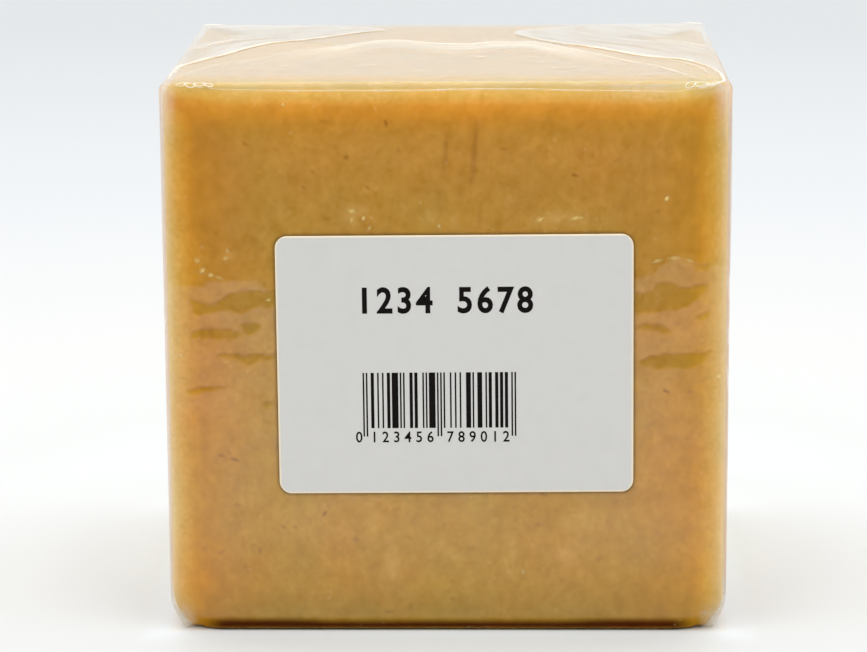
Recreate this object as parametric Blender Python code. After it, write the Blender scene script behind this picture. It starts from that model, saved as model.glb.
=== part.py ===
"""Film-wrapped tofu block with an adhesive price label.

The frame is metres with +Z up. The block stands on z = 0, centred on the Z axis, and its label
faces -Y. The wrapped block is one sealed solid out to its film. A tube of film runs round the
upright walls, with its lap on the back wall, and the tube's two ends are folded over the top
and the base like the ends of a parcel.
"""
import math

import bmesh
import bpy
from mathutils import Matrix, Vector

MM = 0.001

# Driving dimensions of the block, over its film.
BLOCK_WIDTH = 91.8 * MM          # X, across the labelled wall
BLOCK_DEPTH = 78.0 * MM          # Y
BLOCK_TOP = 90.6 * MM            # Z of the top face, under the folds
CORNER_RADIUS = 3.0 * MM         # upright edges
TOP_RADIUS = 3.0 * MM            # edges round the top
BASE_RADIUS = 1.8 * MM           # edges round the base, pressed flatter by the weight
WALL_BULGE = 0.25 * MM           # how far the middle of each wall swells
TOP_CROWN = 0.15 * MM            # how far the middle of the top rises
PEAK_HEIGHT = 0.5 * MM           # gathered film stands up at the top's corners
PEAK_REACH = 9.0 * MM

# Folded film: each layer lies one step above the layer under it.
FOLD_STEP = 0.25 * MM
FOLD_DEPTH = 4.0 * MM            # how far a layer's solid reaches down into the block
FOLD_MARGIN = 0.4 * MM           # gap between a layer's outline and the walls
SEAM_LEFT = -3.0 * MM            # the lap on the back wall, X
SEAM_RIGHT = 12.0 * MM
CREASE_WIDTH = 0.6 * MM          # grooves that the folds press into the base
CREASE_DEPTH = 0.25 * MM

# The label.
LABEL_WIDTH = 58.0 * MM
LABEL_HEIGHT = 43.0 * MM
LABEL_THICKNESS = 0.25 * MM
LABEL_RADIUS = 2.0 * MM
LABEL_CENTRE = (1.4 * MM, 45.3 * MM)     # X and Z
LABEL_TILT = math.radians(0.3)           # its left end sits this much lower
LABEL_GAP = 0.3 * MM                     # clear of the film's most swollen point

# Mesh density.
CORNER_STEPS = 6
SIDE_STEPS = 12
EDGE_STEPS = 6
WALL_STEPS = 8
CROWN_STEPS = 4
BEND_STEPS = 8

HALF_WIDTH = BLOCK_WIDTH / 2
HALF_DEPTH = BLOCK_DEPTH / 2
FRONT_EXTENT = WALL_BULGE + LABEL_GAP + LABEL_THICKNESS
BACK_EXTENT = WALL_BULGE + FOLD_STEP
SHIFT_Y = (FRONT_EXTENT - BACK_EXTENT) / 2   # centres the whole part on y = 0


def clear_scene():
    for item in list(bpy.data.objects):
        bpy.data.objects.remove(item, do_unlink=True)


def principled(name, colour, roughness, coat=0.0):
    """A Principled material with the sub-part's colour and gloss."""
    material = bpy.data.materials.new(name)
    material.use_nodes = True
    shader = material.node_tree.nodes["Principled BSDF"]
    shader.inputs["Base Color"].default_value = (*colour, 1.0)
    shader.inputs["Roughness"].default_value = roughness
    shader.inputs["Metallic"].default_value = 0.0
    shader.inputs["Coat Weight"].default_value = coat
    return material


def mesh_object(name, bm, material=None):
    """Turns a bmesh into an object of the scene, with its faces turned outwards."""
    bmesh.ops.recalc_face_normals(bm, faces=bm.faces)
    mesh = bpy.data.meshes.new(name)
    bm.to_mesh(mesh)
    bm.free()
    item = bpy.data.objects.new(name, mesh)
    bpy.context.collection.objects.link(item)
    if material:
        mesh.materials.append(material)
    return item


def make_guide(item):
    """Marks an object that only shapes another one."""
    item.hide_render = True
    item.display_type = "WIRE"
    return item


def combine(target, tool, operation):
    cut = target.modifiers.new(tool.name, "BOOLEAN")
    cut.operation = operation
    cut.solver = "EXACT"
    cut.object = tool


def rounded_rectangle(half_x, half_y, radius, side_steps):
    """Points and outward normals round a rectangle with arcs for corners, anticlockwise."""
    outline = []
    for quarter in range(4):
        start = math.pi / 2 * quarter
        sign_x = 1 if quarter in (0, 3) else -1
        sign_y = 1 if quarter in (0, 1) else -1
        centre = Vector((sign_x * (half_x - radius), sign_y * (half_y - radius)))
        for step in range(CORNER_STEPS + 1):
            angle = start + math.pi / 2 * step / CORNER_STEPS
            normal = Vector((math.cos(angle), math.sin(angle)))
            outline.append((centre + radius * normal, normal))
        flat = half_x - radius if quarter in (0, 2) else half_y - radius
        along = Vector((-normal.y, normal.x))
        corner = centre + radius * normal
        for step in range(1, side_steps):
            outline.append((corner + along * (2 * flat * step / side_steps), normal))
    return outline


def swell(x, y, height):
    """Share of the wall bulge at a point of a wall: 1 at its middle, 0 along its edges."""
    across = max(0.0, 1 - (x / HALF_WIDTH) ** 2) if abs(y) >= HALF_DEPTH - CORNER_RADIUS else 1.0
    deep = max(0.0, 1 - (y / HALF_DEPTH) ** 2) if abs(x) >= HALF_WIDTH - CORNER_RADIUS else 1.0
    upright = max(0.0, 1 - (2 * height / BLOCK_TOP - 1) ** 2)
    return across * deep * upright


def peak(x, y):
    """Rise of the gathered film near a corner of the top."""
    gap = math.hypot(HALF_WIDTH - abs(x), HALF_DEPTH - abs(y))
    return PEAK_HEIGHT * max(0.0, 1 - gap / PEAK_REACH) ** 2


def ring_levels():
    """(inset, height, share of the top's rise) for each ring of the block, from the base up."""
    levels = []
    for step in range(EDGE_STEPS + 1):
        angle = math.pi / 2 * step / EDGE_STEPS
        levels.append((BASE_RADIUS * (1 - math.sin(angle)), BASE_RADIUS * (1 - math.cos(angle)), 0.0))
    wall_top = BLOCK_TOP - TOP_RADIUS
    for step in range(1, WALL_STEPS):
        levels.append((0.0, BASE_RADIUS + (wall_top - BASE_RADIUS) * step / WALL_STEPS, 0.0))
    for step in range(EDGE_STEPS + 1):
        angle = math.pi / 2 * step / EDGE_STEPS
        rise = math.sin(angle)
        levels.append((TOP_RADIUS * (1 - math.cos(angle)), wall_top + TOP_RADIUS * rise, rise))
    return levels


def wrapped_solid(name, top_rise=0.0, back_rise=0.0, material=None):
    """The block as rings from the base up, closed by a flat base and a crowned top.

    top_rise and back_rise make a copy that stands proud of the block there, for a film layer.
    """
    bm = bmesh.new()
    rings = []

    def add_ring(half_x, half_y, radius, height, share):
        ring = []
        for point, normal in rounded_rectangle(half_x, half_y, radius, SIDE_STEPS):
            place = point + normal * (WALL_BULGE * swell(point.x, point.y, height))
            place.y += back_rise * max(0.0, normal.y)
            lift = share * (top_rise + peak(point.x, point.y))
            ring.append(bm.verts.new((place.x, place.y + SHIFT_Y, height + lift)))
        rings.append(ring)

    for inset, height, share in ring_levels():
        radius = max(CORNER_RADIUS - inset * 0.8, 0.3 * MM)
        add_ring(HALF_WIDTH - inset, HALF_DEPTH - inset, radius, height, share)
    for step in range(1, CROWN_STEPS):
        scale = 1 - 0.3 * step
        half_x = (HALF_WIDTH - TOP_RADIUS) * scale
        half_y = (HALF_DEPTH - TOP_RADIUS) * scale
        add_ring(half_x, half_y, 0.6 * MM, BLOCK_TOP + TOP_CROWN * (1 - scale ** 2), 1.0)

    for lower, upper in zip(rings, rings[1:]):
        for index in range(len(lower)):
            after = (index + 1) % len(lower)
            bm.faces.new((lower[index], lower[after], upper[after], upper[index]))
    bm.faces.new(reversed(rings[0]))
    bm.faces.new(rings[-1])
    for face in bm.faces:
        face.smooth = True
    return mesh_object(name, bm, material)


def bend(start, control, end):
    """Points of a smooth bend from start to end, pulled towards control."""
    points = []
    for step in range(BEND_STEPS + 1):
        t = step / BEND_STEPS
        points.append(tuple((1 - t) ** 2 * a + 2 * t * (1 - t) * b + t * t * c
                            for a, b, c in zip(start, control, end)))
    return points


def millimetres(*points):
    return [(x * MM, y * MM) for x, y in points]


def front_fold():
    """Outline of the last flap, folded back from the front edge; its cut edge lies across the top."""
    edge_x = HALF_WIDTH - FOLD_MARGIN
    edge_y = -HALF_DEPTH + FOLD_MARGIN
    left = bend((-edge_x, edge_y + 1.5 * MM), *millimetres((-38, -14), (-13.5, 15.5)))
    right = bend((edge_x, edge_y + 1.5 * MM), *millimetres((34, -18), (14, 15)))
    cut_edge = millimetres((0, 13.5))
    return [(-edge_x, edge_y)] + left + cut_edge + right[::-1] + [(edge_x, edge_y)]


def side_fold(side):
    """Outline of a side flap: a long folded edge from the front corner to its inner tip."""
    edge_x = HALF_WIDTH - FOLD_MARGIN
    edge_y = HALF_DEPTH - FOLD_MARGIN
    if side < 0:
        folded = bend((-edge_x, -23 * MM), *millimetres((-39, 12), (-12.5, 29)))
        back = millimetres((-23, 37))
    else:
        folded = bend((edge_x, -33 * MM), *millimetres((42, -4), (11, 27)))
        back = millimetres((23, 37))
    return folded + back + [(side * 30 * MM, edge_y), (side * edge_x, edge_y)]


def back_fold():
    """Outline of the first flap, folded forward from the back edge."""
    edge_x = HALF_WIDTH - FOLD_MARGIN
    edge_y = HALF_DEPTH - FOLD_MARGIN
    left = bend((-edge_x, edge_y - 1.5 * MM), *millimetres((-34, 14), (-15, -3)))
    right = bend((edge_x, edge_y - 1.5 * MM), *millimetres((34, 14), (15, -3)))
    return [(-edge_x, edge_y)] + left + right[::-1] + [(edge_x, edge_y)]


def prism(name, outline, low, high):
    """An upright prism over an outline in X and Y."""
    bm = bmesh.new()
    bottom = [bm.verts.new((x, y + SHIFT_Y, low)) for x, y in outline]
    top = [bm.verts.new((x, y + SHIFT_Y, high)) for x, y in outline]
    bm.faces.new(reversed(bottom))
    bm.faces.new(top)
    for index in range(len(outline)):
        after = (index + 1) % len(outline)
        bm.faces.new((bottom[index], bottom[after], top[after], top[index]))
    return mesh_object(name, bm)


def film_layer(name, outline, layer):
    """A folded layer of film on the top: the block grown upwards, kept only inside the outline."""
    grown = make_guide(wrapped_solid(name, top_rise=layer * FOLD_STEP))
    low = BLOCK_TOP - FOLD_DEPTH
    keep = make_guide(prism(name + "_outline", outline, low, BLOCK_TOP + FOLD_DEPTH))
    combine(grown, keep, "INTERSECT")
    return grown


def back_seam():
    """The lap of the film's tube: an upright strip that stands proud of the back wall."""
    grown = make_guide(wrapped_solid("back_seam", back_rise=FOLD_STEP))
    inner = HALF_DEPTH - FOLD_DEPTH
    outer = HALF_DEPTH + FOLD_DEPTH
    strip = [(SEAM_LEFT, inner), (SEAM_RIGHT, inner), (SEAM_RIGHT, outer), (SEAM_LEFT, outer)]
    low = BASE_RADIUS + FOLD_MARGIN
    keep = prism("back_seam_outline", strip, low, BLOCK_TOP - TOP_RADIUS - FOLD_MARGIN)
    combine(grown, make_guide(keep), "INTERSECT")
    return grown


def crease_cutter(name, path):
    """A V-shaped bar along a path under the base, with mitred bends, that cuts one crease."""
    bm = bmesh.new()
    sections = []
    points = [Vector((x, y)) for x, y in path]
    for index, point in enumerate(points):
        before = (point - points[index - 1]).normalized() if index else None
        after = (points[index + 1] - point).normalized() if index < len(points) - 1 else None
        along = ((before or after) + (after or before)).normalized()
        side = Vector((-along.y, along.x))
        stretch = 1 / max(0.3, along.dot(after or before))
        half = CREASE_WIDTH * stretch
        corners = [(point - side * half, -CREASE_DEPTH), (point + side * half, -CREASE_DEPTH),
                   (point, CREASE_DEPTH)]
        sections.append([bm.verts.new((p.x, p.y + SHIFT_Y, z)) for p, z in corners])
    for first, second in zip(sections, sections[1:]):
        for index in range(3):
            after = (index + 1) % 3
            bm.faces.new((first[index], first[after], second[after], second[index]))
    bm.faces.new(reversed(sections[0]))
    bm.faces.new(sections[-1])
    return make_guide(mesh_object(name, bm))


def base_creases():
    """The folds of the base, pressed flat, so that only their edges show as shallow grooves."""
    inset = BASE_RADIUS + 1.5 * MM
    left, right = -HALF_WIDTH + inset, HALF_WIDTH - inset
    front, back = -HALF_DEPTH + inset, HALF_DEPTH - inset
    front_edge = (bend((left, front), *millimetres((-32, -14), (-14, 12)))
                  + bend((right, front), *millimetres((32, -14), (14, 12)))[::-1])
    left_edge = bend((left, -20 * MM), *millimetres((-35, 14), (-17, 26)))
    right_edge = bend((right, -24 * MM), *millimetres((36, 12), (16, 25)))
    back_left = millimetres((-17, 26)) + [(-24 * MM, back)]
    back_right = millimetres((16, 25)) + [(24 * MM, back)]
    return [crease_cutter("front_crease", front_edge),
            crease_cutter("left_crease", left_edge + back_left[1:]),
            crease_cutter("right_crease", right_edge + back_right[1:])]


def build_wrapped_block():
    """The sealed pack: the block with its folded film on the top, back and base."""
    amber = principled("wrapped_tofu", (0.60, 0.29, 0.07), 0.35, coat=1.0)
    block = wrapped_solid("wrapped_block", material=amber)
    layers = [film_layer("back_fold", back_fold(), 1),
              film_layer("left_fold", side_fold(-1), 2),
              film_layer("right_fold", side_fold(1), 2),
              film_layer("front_fold", front_fold(), 3),
              back_seam()]
    for layer in layers:
        combine(block, layer, "UNION")
    for cutter in base_creases():
        combine(block, cutter, "DIFFERENCE")
    block.data.set_sharp_from_angle(angle=math.radians(35))
    return block


def build_label():
    """The paper label: a thin plate with rounded corners, just clear of the front wall."""
    paper = principled("label_paper", (0.66, 0.66, 0.63), 0.6)
    bm = bmesh.new()
    outline = rounded_rectangle(LABEL_WIDTH / 2, LABEL_HEIGHT / 2, LABEL_RADIUS, 1)
    front = [bm.verts.new((point.x, 0.0, point.y)) for point, _ in outline]
    back = [bm.verts.new((point.x, LABEL_THICKNESS, point.y)) for point, _ in outline]
    bm.faces.new(front)
    bm.faces.new(reversed(back))
    for index in range(len(outline)):
        after = (index + 1) % len(outline)
        bm.faces.new((front[index], back[index], back[after], front[after]))
    label = mesh_object("label", bm, paper)
    front_y = SHIFT_Y - HALF_DEPTH - FRONT_EXTENT
    place = Matrix.Translation((LABEL_CENTRE[0], front_y, LABEL_CENTRE[1]))
    label.matrix_world = place @ Matrix.Rotation(-LABEL_TILT, 4, "Y")
    return label


clear_scene()
build_wrapped_block()
build_label()
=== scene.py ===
"""The looks of a film-wrapped tofu block with a paper label.

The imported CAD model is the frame. The block's solid is replaced by the tofu, the film that is
drawn round it and the folded ends of that film; the label's plate is replaced by printed paper.
The block stands on z = 0 and its label faces -Y. Lengths are metres; MM is one millimetre.
"""
import math

import bpy
import numpy as np
from mathutils import Matrix, Vector


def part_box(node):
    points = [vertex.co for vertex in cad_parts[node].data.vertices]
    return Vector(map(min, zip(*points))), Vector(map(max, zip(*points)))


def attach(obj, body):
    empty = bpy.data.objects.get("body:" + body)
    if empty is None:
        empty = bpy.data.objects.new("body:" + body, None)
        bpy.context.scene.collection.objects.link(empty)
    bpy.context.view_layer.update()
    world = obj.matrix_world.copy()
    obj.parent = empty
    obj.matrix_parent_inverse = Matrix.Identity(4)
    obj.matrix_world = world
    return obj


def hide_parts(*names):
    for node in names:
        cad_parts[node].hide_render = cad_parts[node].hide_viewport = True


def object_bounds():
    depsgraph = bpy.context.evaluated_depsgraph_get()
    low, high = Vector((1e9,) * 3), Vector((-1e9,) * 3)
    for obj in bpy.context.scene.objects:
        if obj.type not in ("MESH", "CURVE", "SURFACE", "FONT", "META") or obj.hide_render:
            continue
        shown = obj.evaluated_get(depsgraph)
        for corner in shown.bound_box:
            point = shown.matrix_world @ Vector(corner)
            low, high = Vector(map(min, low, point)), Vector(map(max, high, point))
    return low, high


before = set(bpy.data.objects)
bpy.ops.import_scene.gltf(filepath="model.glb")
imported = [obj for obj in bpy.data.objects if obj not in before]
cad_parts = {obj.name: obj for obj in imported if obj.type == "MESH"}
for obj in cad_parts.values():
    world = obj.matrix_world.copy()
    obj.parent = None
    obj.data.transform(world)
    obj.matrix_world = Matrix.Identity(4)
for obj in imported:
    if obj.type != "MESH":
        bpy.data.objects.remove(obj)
CAD_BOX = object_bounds()
MM = 0.001
HAIR = 0.01 * MM                             # every piece stays this far inside the CAD box

# Places, all read from the frame.
BLOCK_LOW, BLOCK_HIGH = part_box("wrapped_block")
LABEL_LOW, LABEL_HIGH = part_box("label")
WALL_SWELL = 0.25 * MM                       # the CAD walls swell this much at their middle
SEAM_STEP = 0.25 * MM                        # and the lap on the back wall stands this proud
HALF_X = (BLOCK_HIGH.x - BLOCK_LOW.x) / 2 - WALL_SWELL
FRONT_Y = BLOCK_LOW.y + WALL_SWELL           # the plain planes of the front and back walls
BACK_Y = BLOCK_HIGH.y - WALL_SWELL - SEAM_STEP
HALF_Y = (BACK_Y - FRONT_Y) / 2
MID_Y = (BACK_Y + FRONT_Y) / 2
SKIN_TOP = BLOCK_HIGH.z - 0.20 * MM          # the film's top under the folded layers
SKIN_BASE = 0.20 * MM                        # the film's base over the folded layers
LAYER = 0.03 * MM                            # each folded layer lies this far outside the last

# Roundings of the film and of the tofu inside it.
FILM_RADIUS = 2.8 * MM                       # along the top's front edge
FILM_SHARP_RADIUS = 0.9 * MM                 # along its other edges and the upright ones
FILM_BASE_RADIUS = 0.5 * MM                  # at the middle of each wall's foot
FILM_TUCK = 2.1 * MM
TOFU_TUCK = 3.0 * MM
CORNER_TUCK = 1.6 * MM
FILM_CORNER_EXTRA = 0.3 * MM                 # and this much more at the foot's corners
TOFU_RADIUS = 4.0 * MM
TOFU_SHARP_RADIUS = 2.2 * MM
TOFU_BASE_RADIUS = 0.7 * MM
TOFU_CORNER_EXTRA = 0.2 * MM
AIR = 0.15 * MM                              # gap between the film and the tofu on the walls
SIDE_AIR = 0.35 * MM                         # and on the two side walls


# ---------------------------------------------------------------- shapes

def smooth(value, low, high):
    """0 at low, 1 at high and a smooth ramp between them; low may be the larger."""
    t = np.clip((np.asarray(value, float) - low) / (high - low), 0, 1)
    return t * t * (3 - 2 * t)


def soft_noise(points, size, seed):
    """A smooth random field from -1 to 1 whose bumps are about size metres across."""
    count = 32
    lattice = np.random.default_rng(seed).uniform(-1, 1, (count, count, count))
    scaled = np.asarray(points) / size + 0.37
    cell = np.floor(scaled).astype(int)
    part = scaled - cell
    part = part * part * (3 - 2 * part)
    total = np.zeros(len(scaled))
    for corner in range(8):
        step = np.array([corner & 1, corner >> 1 & 1, corner >> 2 & 1])
        weight = np.prod(np.where(step, part, 1 - part), axis=1)
        i, j, k = ((cell + step) % count).T
        total += weight * lattice[i, j, k]
    return total


def graded(low, high, fine, coarse, zone, spans=()):
    """Places from low to high: fine steps near both ends and inside spans, coarse elsewhere."""
    places = [low]
    while places[-1] < high:
        here = places[-1]
        near = min(here - low, high - here) < zone or any(a <= here <= b for a, b in spans)
        places.append(here + (fine if near else coarse))
    places = np.array(places[:-1])
    return low + (places - low) * (high - low) / (places[-1] - low)


def box_lattice(xs, ys, zs):
    """Points and outward quads of the surface of a box ruled by lines at xs, ys and zs."""
    shape = (len(xs), len(ys), len(zs))
    on_surface = np.zeros(shape, bool)
    for axis in range(3):
        for end in (0, -1):
            face = [slice(None)] * 3
            face[axis] = end
            on_surface[tuple(face)] = True
    ids = np.full(shape, -1)
    ids[on_surface] = np.arange(on_surface.sum())
    i, j, k = np.nonzero(on_surface)
    points = np.stack([xs[i], ys[j], zs[k]], axis=1)
    quads = []
    for axis in range(3):
        for end in (0, -1):
            sheet = np.take(ids, end, axis=axis)
            if axis == 1:
                sheet = sheet.T
            a, b, c, d = sheet[:-1, :-1], sheet[1:, :-1], sheet[1:, 1:], sheet[:-1, 1:]
            ring = np.stack([a, b, c, d] if end else [a, d, c, b], axis=-1)
            quads.append(ring.reshape(-1, 4))
    return points, np.concatenate(quads)


def round_box(points, half_x, half_y, low, high, radii):
    """Pulls lattice points onto a box with rounded edges; returns them and their normals.

    The radii are those of the top's front edge, of its other edges and the upright ones, of the
    foot, what the foot's corners have on top of it, and how far the side walls draw in there.
    """
    radius, sharp_radius, base_radius, corner_extra, tuck = radii
    top_share = smooth(points[:, 2], low + 3 * MM, low + 22 * MM)
    beside = smooth(np.abs(points[:, 0]), half_x - 11 * MM, half_x - 3 * MM)
    corner = beside * smooth(np.abs(points[:, 1] - MID_Y), half_y - 11 * MM, half_y - 3 * MM)
    rear = smooth(points[:, 1] - MID_Y, 0, half_y - 3 * MM)
    upper = radius + (sharp_radius - radius) * np.maximum(beside, rear)
    foot = base_radius + corner_extra * corner
    r = (foot + (upper - foot) * top_share)[:, None]
    low_corner = np.array([-half_x, MID_Y - half_y, low]) + r
    high_corner = np.array([half_x, MID_Y + half_y, high]) - r
    core = np.clip(points, low_corner, high_corner)
    away = points - core
    normal = away / np.linalg.norm(away, axis=1, keepdims=True)
    placed = core + normal * r
    placed[:, :2] -= foot_tuck(placed, tuck)
    return placed, normal


def foot_tuck(points, tuck):
    """How far the two side walls and the corners draw in towards the floor."""
    side, depth = points[:, 0], points[:, 1] - MID_Y
    gap_x = HALF_X - np.abs(side)
    sideways = tuck * smooth(gap_x, 6 * MM, 2 * MM) \
        * smooth(points[:, 2], 6.2 * MM, -2 * MM)
    inward = CORNER_TUCK * smooth(gap_x, 9 * MM, 1 * MM) * smooth(points[:, 2], 4 * MM, 0) \
        * smooth(HALF_Y - np.abs(depth), 9 * MM, 3 * MM)
    return np.column_stack([np.sign(side) * sideways, np.sign(depth) * inward])


def wall_swell(points):
    """Share of the walls' swelling, as in the CAD solid: 1 at a wall's middle, 0 at its edges."""
    across = 1 - (points[:, 0] / HALF_X) ** 2
    deep = 1 - ((points[:, 1] - MID_Y) / HALF_Y) ** 2
    upright = 1 - (2 * points[:, 2] / SKIN_TOP - 1) ** 2
    on_x = np.abs(points[:, 0]) > HALF_X - 1.0 * MM
    on_y = np.abs(points[:, 1] - MID_Y) > HALF_Y - 1.0 * MM
    share = np.where(on_y, across, np.where(on_x, deep, 0.0))
    return np.clip(share, 0, 1) * np.clip(upright, 0, 1)


def rear_rise(points):
    """How far the top stands up towards its back edge."""
    return 0.05 * MM * smooth(points[:, 1], MID_Y, BACK_Y - 4 * MM) \
        * smooth(points[:, 2], SKIN_TOP - 1.2 * MM, SKIN_TOP - 0.3 * MM)


def corner_puff(points):
    """How far the film stands out at the four upright edges and rumples at the top's corners."""
    gap_x = np.clip(HALF_X - np.abs(points[:, 0]), 0, None)
    gap_y = np.clip(HALF_Y - np.abs(points[:, 1] - MID_Y), 0, None)
    upright_edge = smooth(np.maximum(gap_x, gap_y), 4.5 * MM, 1.5 * MM)
    corner = smooth(np.hypot(gap_x, gap_y), 9 * MM, 1 * MM)
    high = smooth(points[:, 2], SKIN_TOP - 9 * MM, SKIN_TOP - 2 * MM)
    crumple = corner * high * 0.07 * MM * (1 + soft_noise(points, 2.2 * MM, 5))
    waver = 0.75 + 0.25 * soft_noise(points, 12 * MM, 6)
    return 0.08 * MM * upright_edge * waver * (1 - high) + crumple


def hug(places, lift=0.0):
    """The places on the film's rounded box next to the given ones, and the normals there."""
    points, normals = round_box(places, HALF_X, HALF_Y, SKIN_BASE, SKIN_TOP,
                                (FILM_RADIUS, FILM_SHARP_RADIUS, FILM_BASE_RADIUS,
                                 FILM_CORNER_EXTRA, FILM_TUCK))
    relief = WALL_SWELL * wall_swell(points) + corner_puff(points) + rear_rise(points) + lift
    return points + normals * np.reshape(relief, (-1, 1)), normals


def inside(flat, outline, soft):
    """1 well inside a closed outline and 0 well outside it; flat in metres, the outline in mm."""
    corners = np.array(outline, float) * MM
    nearest = np.full(len(flat), np.inf)
    within = np.zeros(len(flat), bool)
    for a, b in zip(corners, np.roll(corners, -1, axis=0)):
        along = b - a
        t = np.clip((flat - a) @ along / (along @ along), 0, 1)
        nearest = np.minimum(nearest, np.linalg.norm(flat - a - t[:, None] * along, axis=1))
        straddles = (a[1] > flat[:, 1]) != (b[1] > flat[:, 1])
        rise = along[1] if along[1] else 1.0
        within ^= straddles & (flat[:, 0] < a[0] + (flat[:, 1] - a[1]) / rise * along[0])
    return smooth(np.where(within, nearest, -nearest), -soft, soft)


def front_surface(x, z):
    """Y of the film's front wall at x and z."""
    across = np.clip(1 - (x / HALF_X) ** 2, 0, 1)
    upright = np.clip(1 - (2 * z / SKIN_TOP - 1) ** 2, 0, 1)
    return FRONT_Y - WALL_SWELL * across * upright


def mesh_piece(name, points, faces, material, node, attributes=None):
    """A smooth-shaded mesh that rides on the block and stands for a CAD node."""
    points = np.clip(points, np.array(CAD_BOX[0]) + HAIR, np.array(CAD_BOX[1]) - HAIR)
    mesh = bpy.data.meshes.new(name)
    mesh.from_pydata([tuple(p) for p in points], [], [tuple(int(i) for i in f) for f in faces])
    mesh.shade_smooth()
    for key, values in (attributes or {}).items():
        values = np.asarray(values, np.float32)
        if values.ndim == 1:
            mesh.attributes.new(key, "FLOAT", "POINT").data.foreach_set("value", values)
        else:
            vectors = mesh.attributes.new(key, "FLOAT_VECTOR", "POINT")
            vectors.data.foreach_set("vector", values.ravel())
    mesh.materials.append(material)
    piece = bpy.data.objects.new(name, mesh)
    bpy.context.collection.objects.link(piece)
    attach(piece, "root")
    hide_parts(node)
    return piece


def grid_faces(rows, columns, first=0):
    """Quads of a grid of points that were made row by row."""
    ids = first + np.arange(rows * columns).reshape(rows, columns)
    a, b, c, d = ids[:-1, :-1], ids[:-1, 1:], ids[1:, 1:], ids[1:, :-1]
    return np.stack([a, b, c, d], axis=-1).reshape(-1, 4)


def resample(path, count):
    """The same path with count points, evenly spaced along it."""
    steps = np.linalg.norm(np.diff(path, axis=0), axis=1)
    along = np.concatenate([[0], np.cumsum(steps)])
    places = np.linspace(0, along[-1], count)
    return np.stack([np.interp(places, along, path[:, axis]) for axis in range(path.shape[1])],
                    axis=1)


# ---------------------------------------------------------------- materials

def link_or_set(tree, socket, value):
    if isinstance(value, bpy.types.NodeSocket):
        tree.links.new(value, socket)
    elif isinstance(value, tuple) and len(value) == 3 and socket.type == "RGBA":
        socket.default_value = (*value, 1.0)
    else:
        socket.default_value = value


def add(tree, kind, inputs=None, **settings):
    """A shader node with its settings, and its inputs linked or set."""
    node = tree.nodes.new(kind)
    for key, value in settings.items():
        setattr(node, key, value)
    for key, value in (inputs or {}).items():
        link_or_set(tree, node.inputs[key], value)
    return node


def new_material(name):
    material = bpy.data.materials.new(name)
    material.use_nodes = True
    tree = material.node_tree
    tree.nodes.clear()
    return material, tree, add(tree, "ShaderNodeOutputMaterial")


def object_noise(tree, size, detail=2.0, stretch=(1, 1, 1), roughness=0.5):
    """Noise over the object's own space, with features about size metres across."""
    place = add(tree, "ShaderNodeTexCoord").outputs["Object"]
    scaled = add(tree, "ShaderNodeMapping", {"Vector": place, "Scale": stretch})
    return add(tree, "ShaderNodeTexNoise", {"Vector": scaled.outputs["Vector"], "Scale": 1 / size,
               "Detail": detail, "Roughness": roughness}).outputs["Fac"]


def ramp(tree, value, stops):
    """A colour ramp over value; stops are (place, linear colour)."""
    node = add(tree, "ShaderNodeValToRGB", {"Fac": value})
    elements = node.color_ramp.elements
    while len(elements) < len(stops):
        elements.new(0.5)
    for element, (place, colour) in zip(elements, stops):
        element.position = place
        element.color = (*colour, 1.0)
    return node.outputs["Color"]


def span(tree, value, low, high, to_low=0.0, to_high=1.0):
    """value mapped from low..high to to_low..to_high, held at the ends."""
    return add(tree, "ShaderNodeMapRange", {"Value": value, "From Min": low, "From Max": high,
               "To Min": to_low, "To Max": to_high}).outputs["Result"]


def maths(tree, operation, *values):
    node = add(tree, "ShaderNodeMath", operation=operation)
    for socket, value in zip(node.inputs, values):
        link_or_set(tree, socket, value)
    return node.outputs["Value"]


def mixed(tree, share, first, second, kind="MIX"):
    """Two colours mixed by share, or the second laid over the first in another blend mode."""
    node = add(tree, "ShaderNodeMix", data_type="RGBA", blend_type=kind)
    sockets = (node.inputs[0], node.inputs[6], node.inputs[7])
    for socket, value in zip(sockets, (share, first, second)):
        link_or_set(tree, socket, value)
    return node.outputs[2]


def attribute(tree, name, output="Fac"):
    return add(tree, "ShaderNodeAttribute", attribute_name=name).outputs[output]


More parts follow.
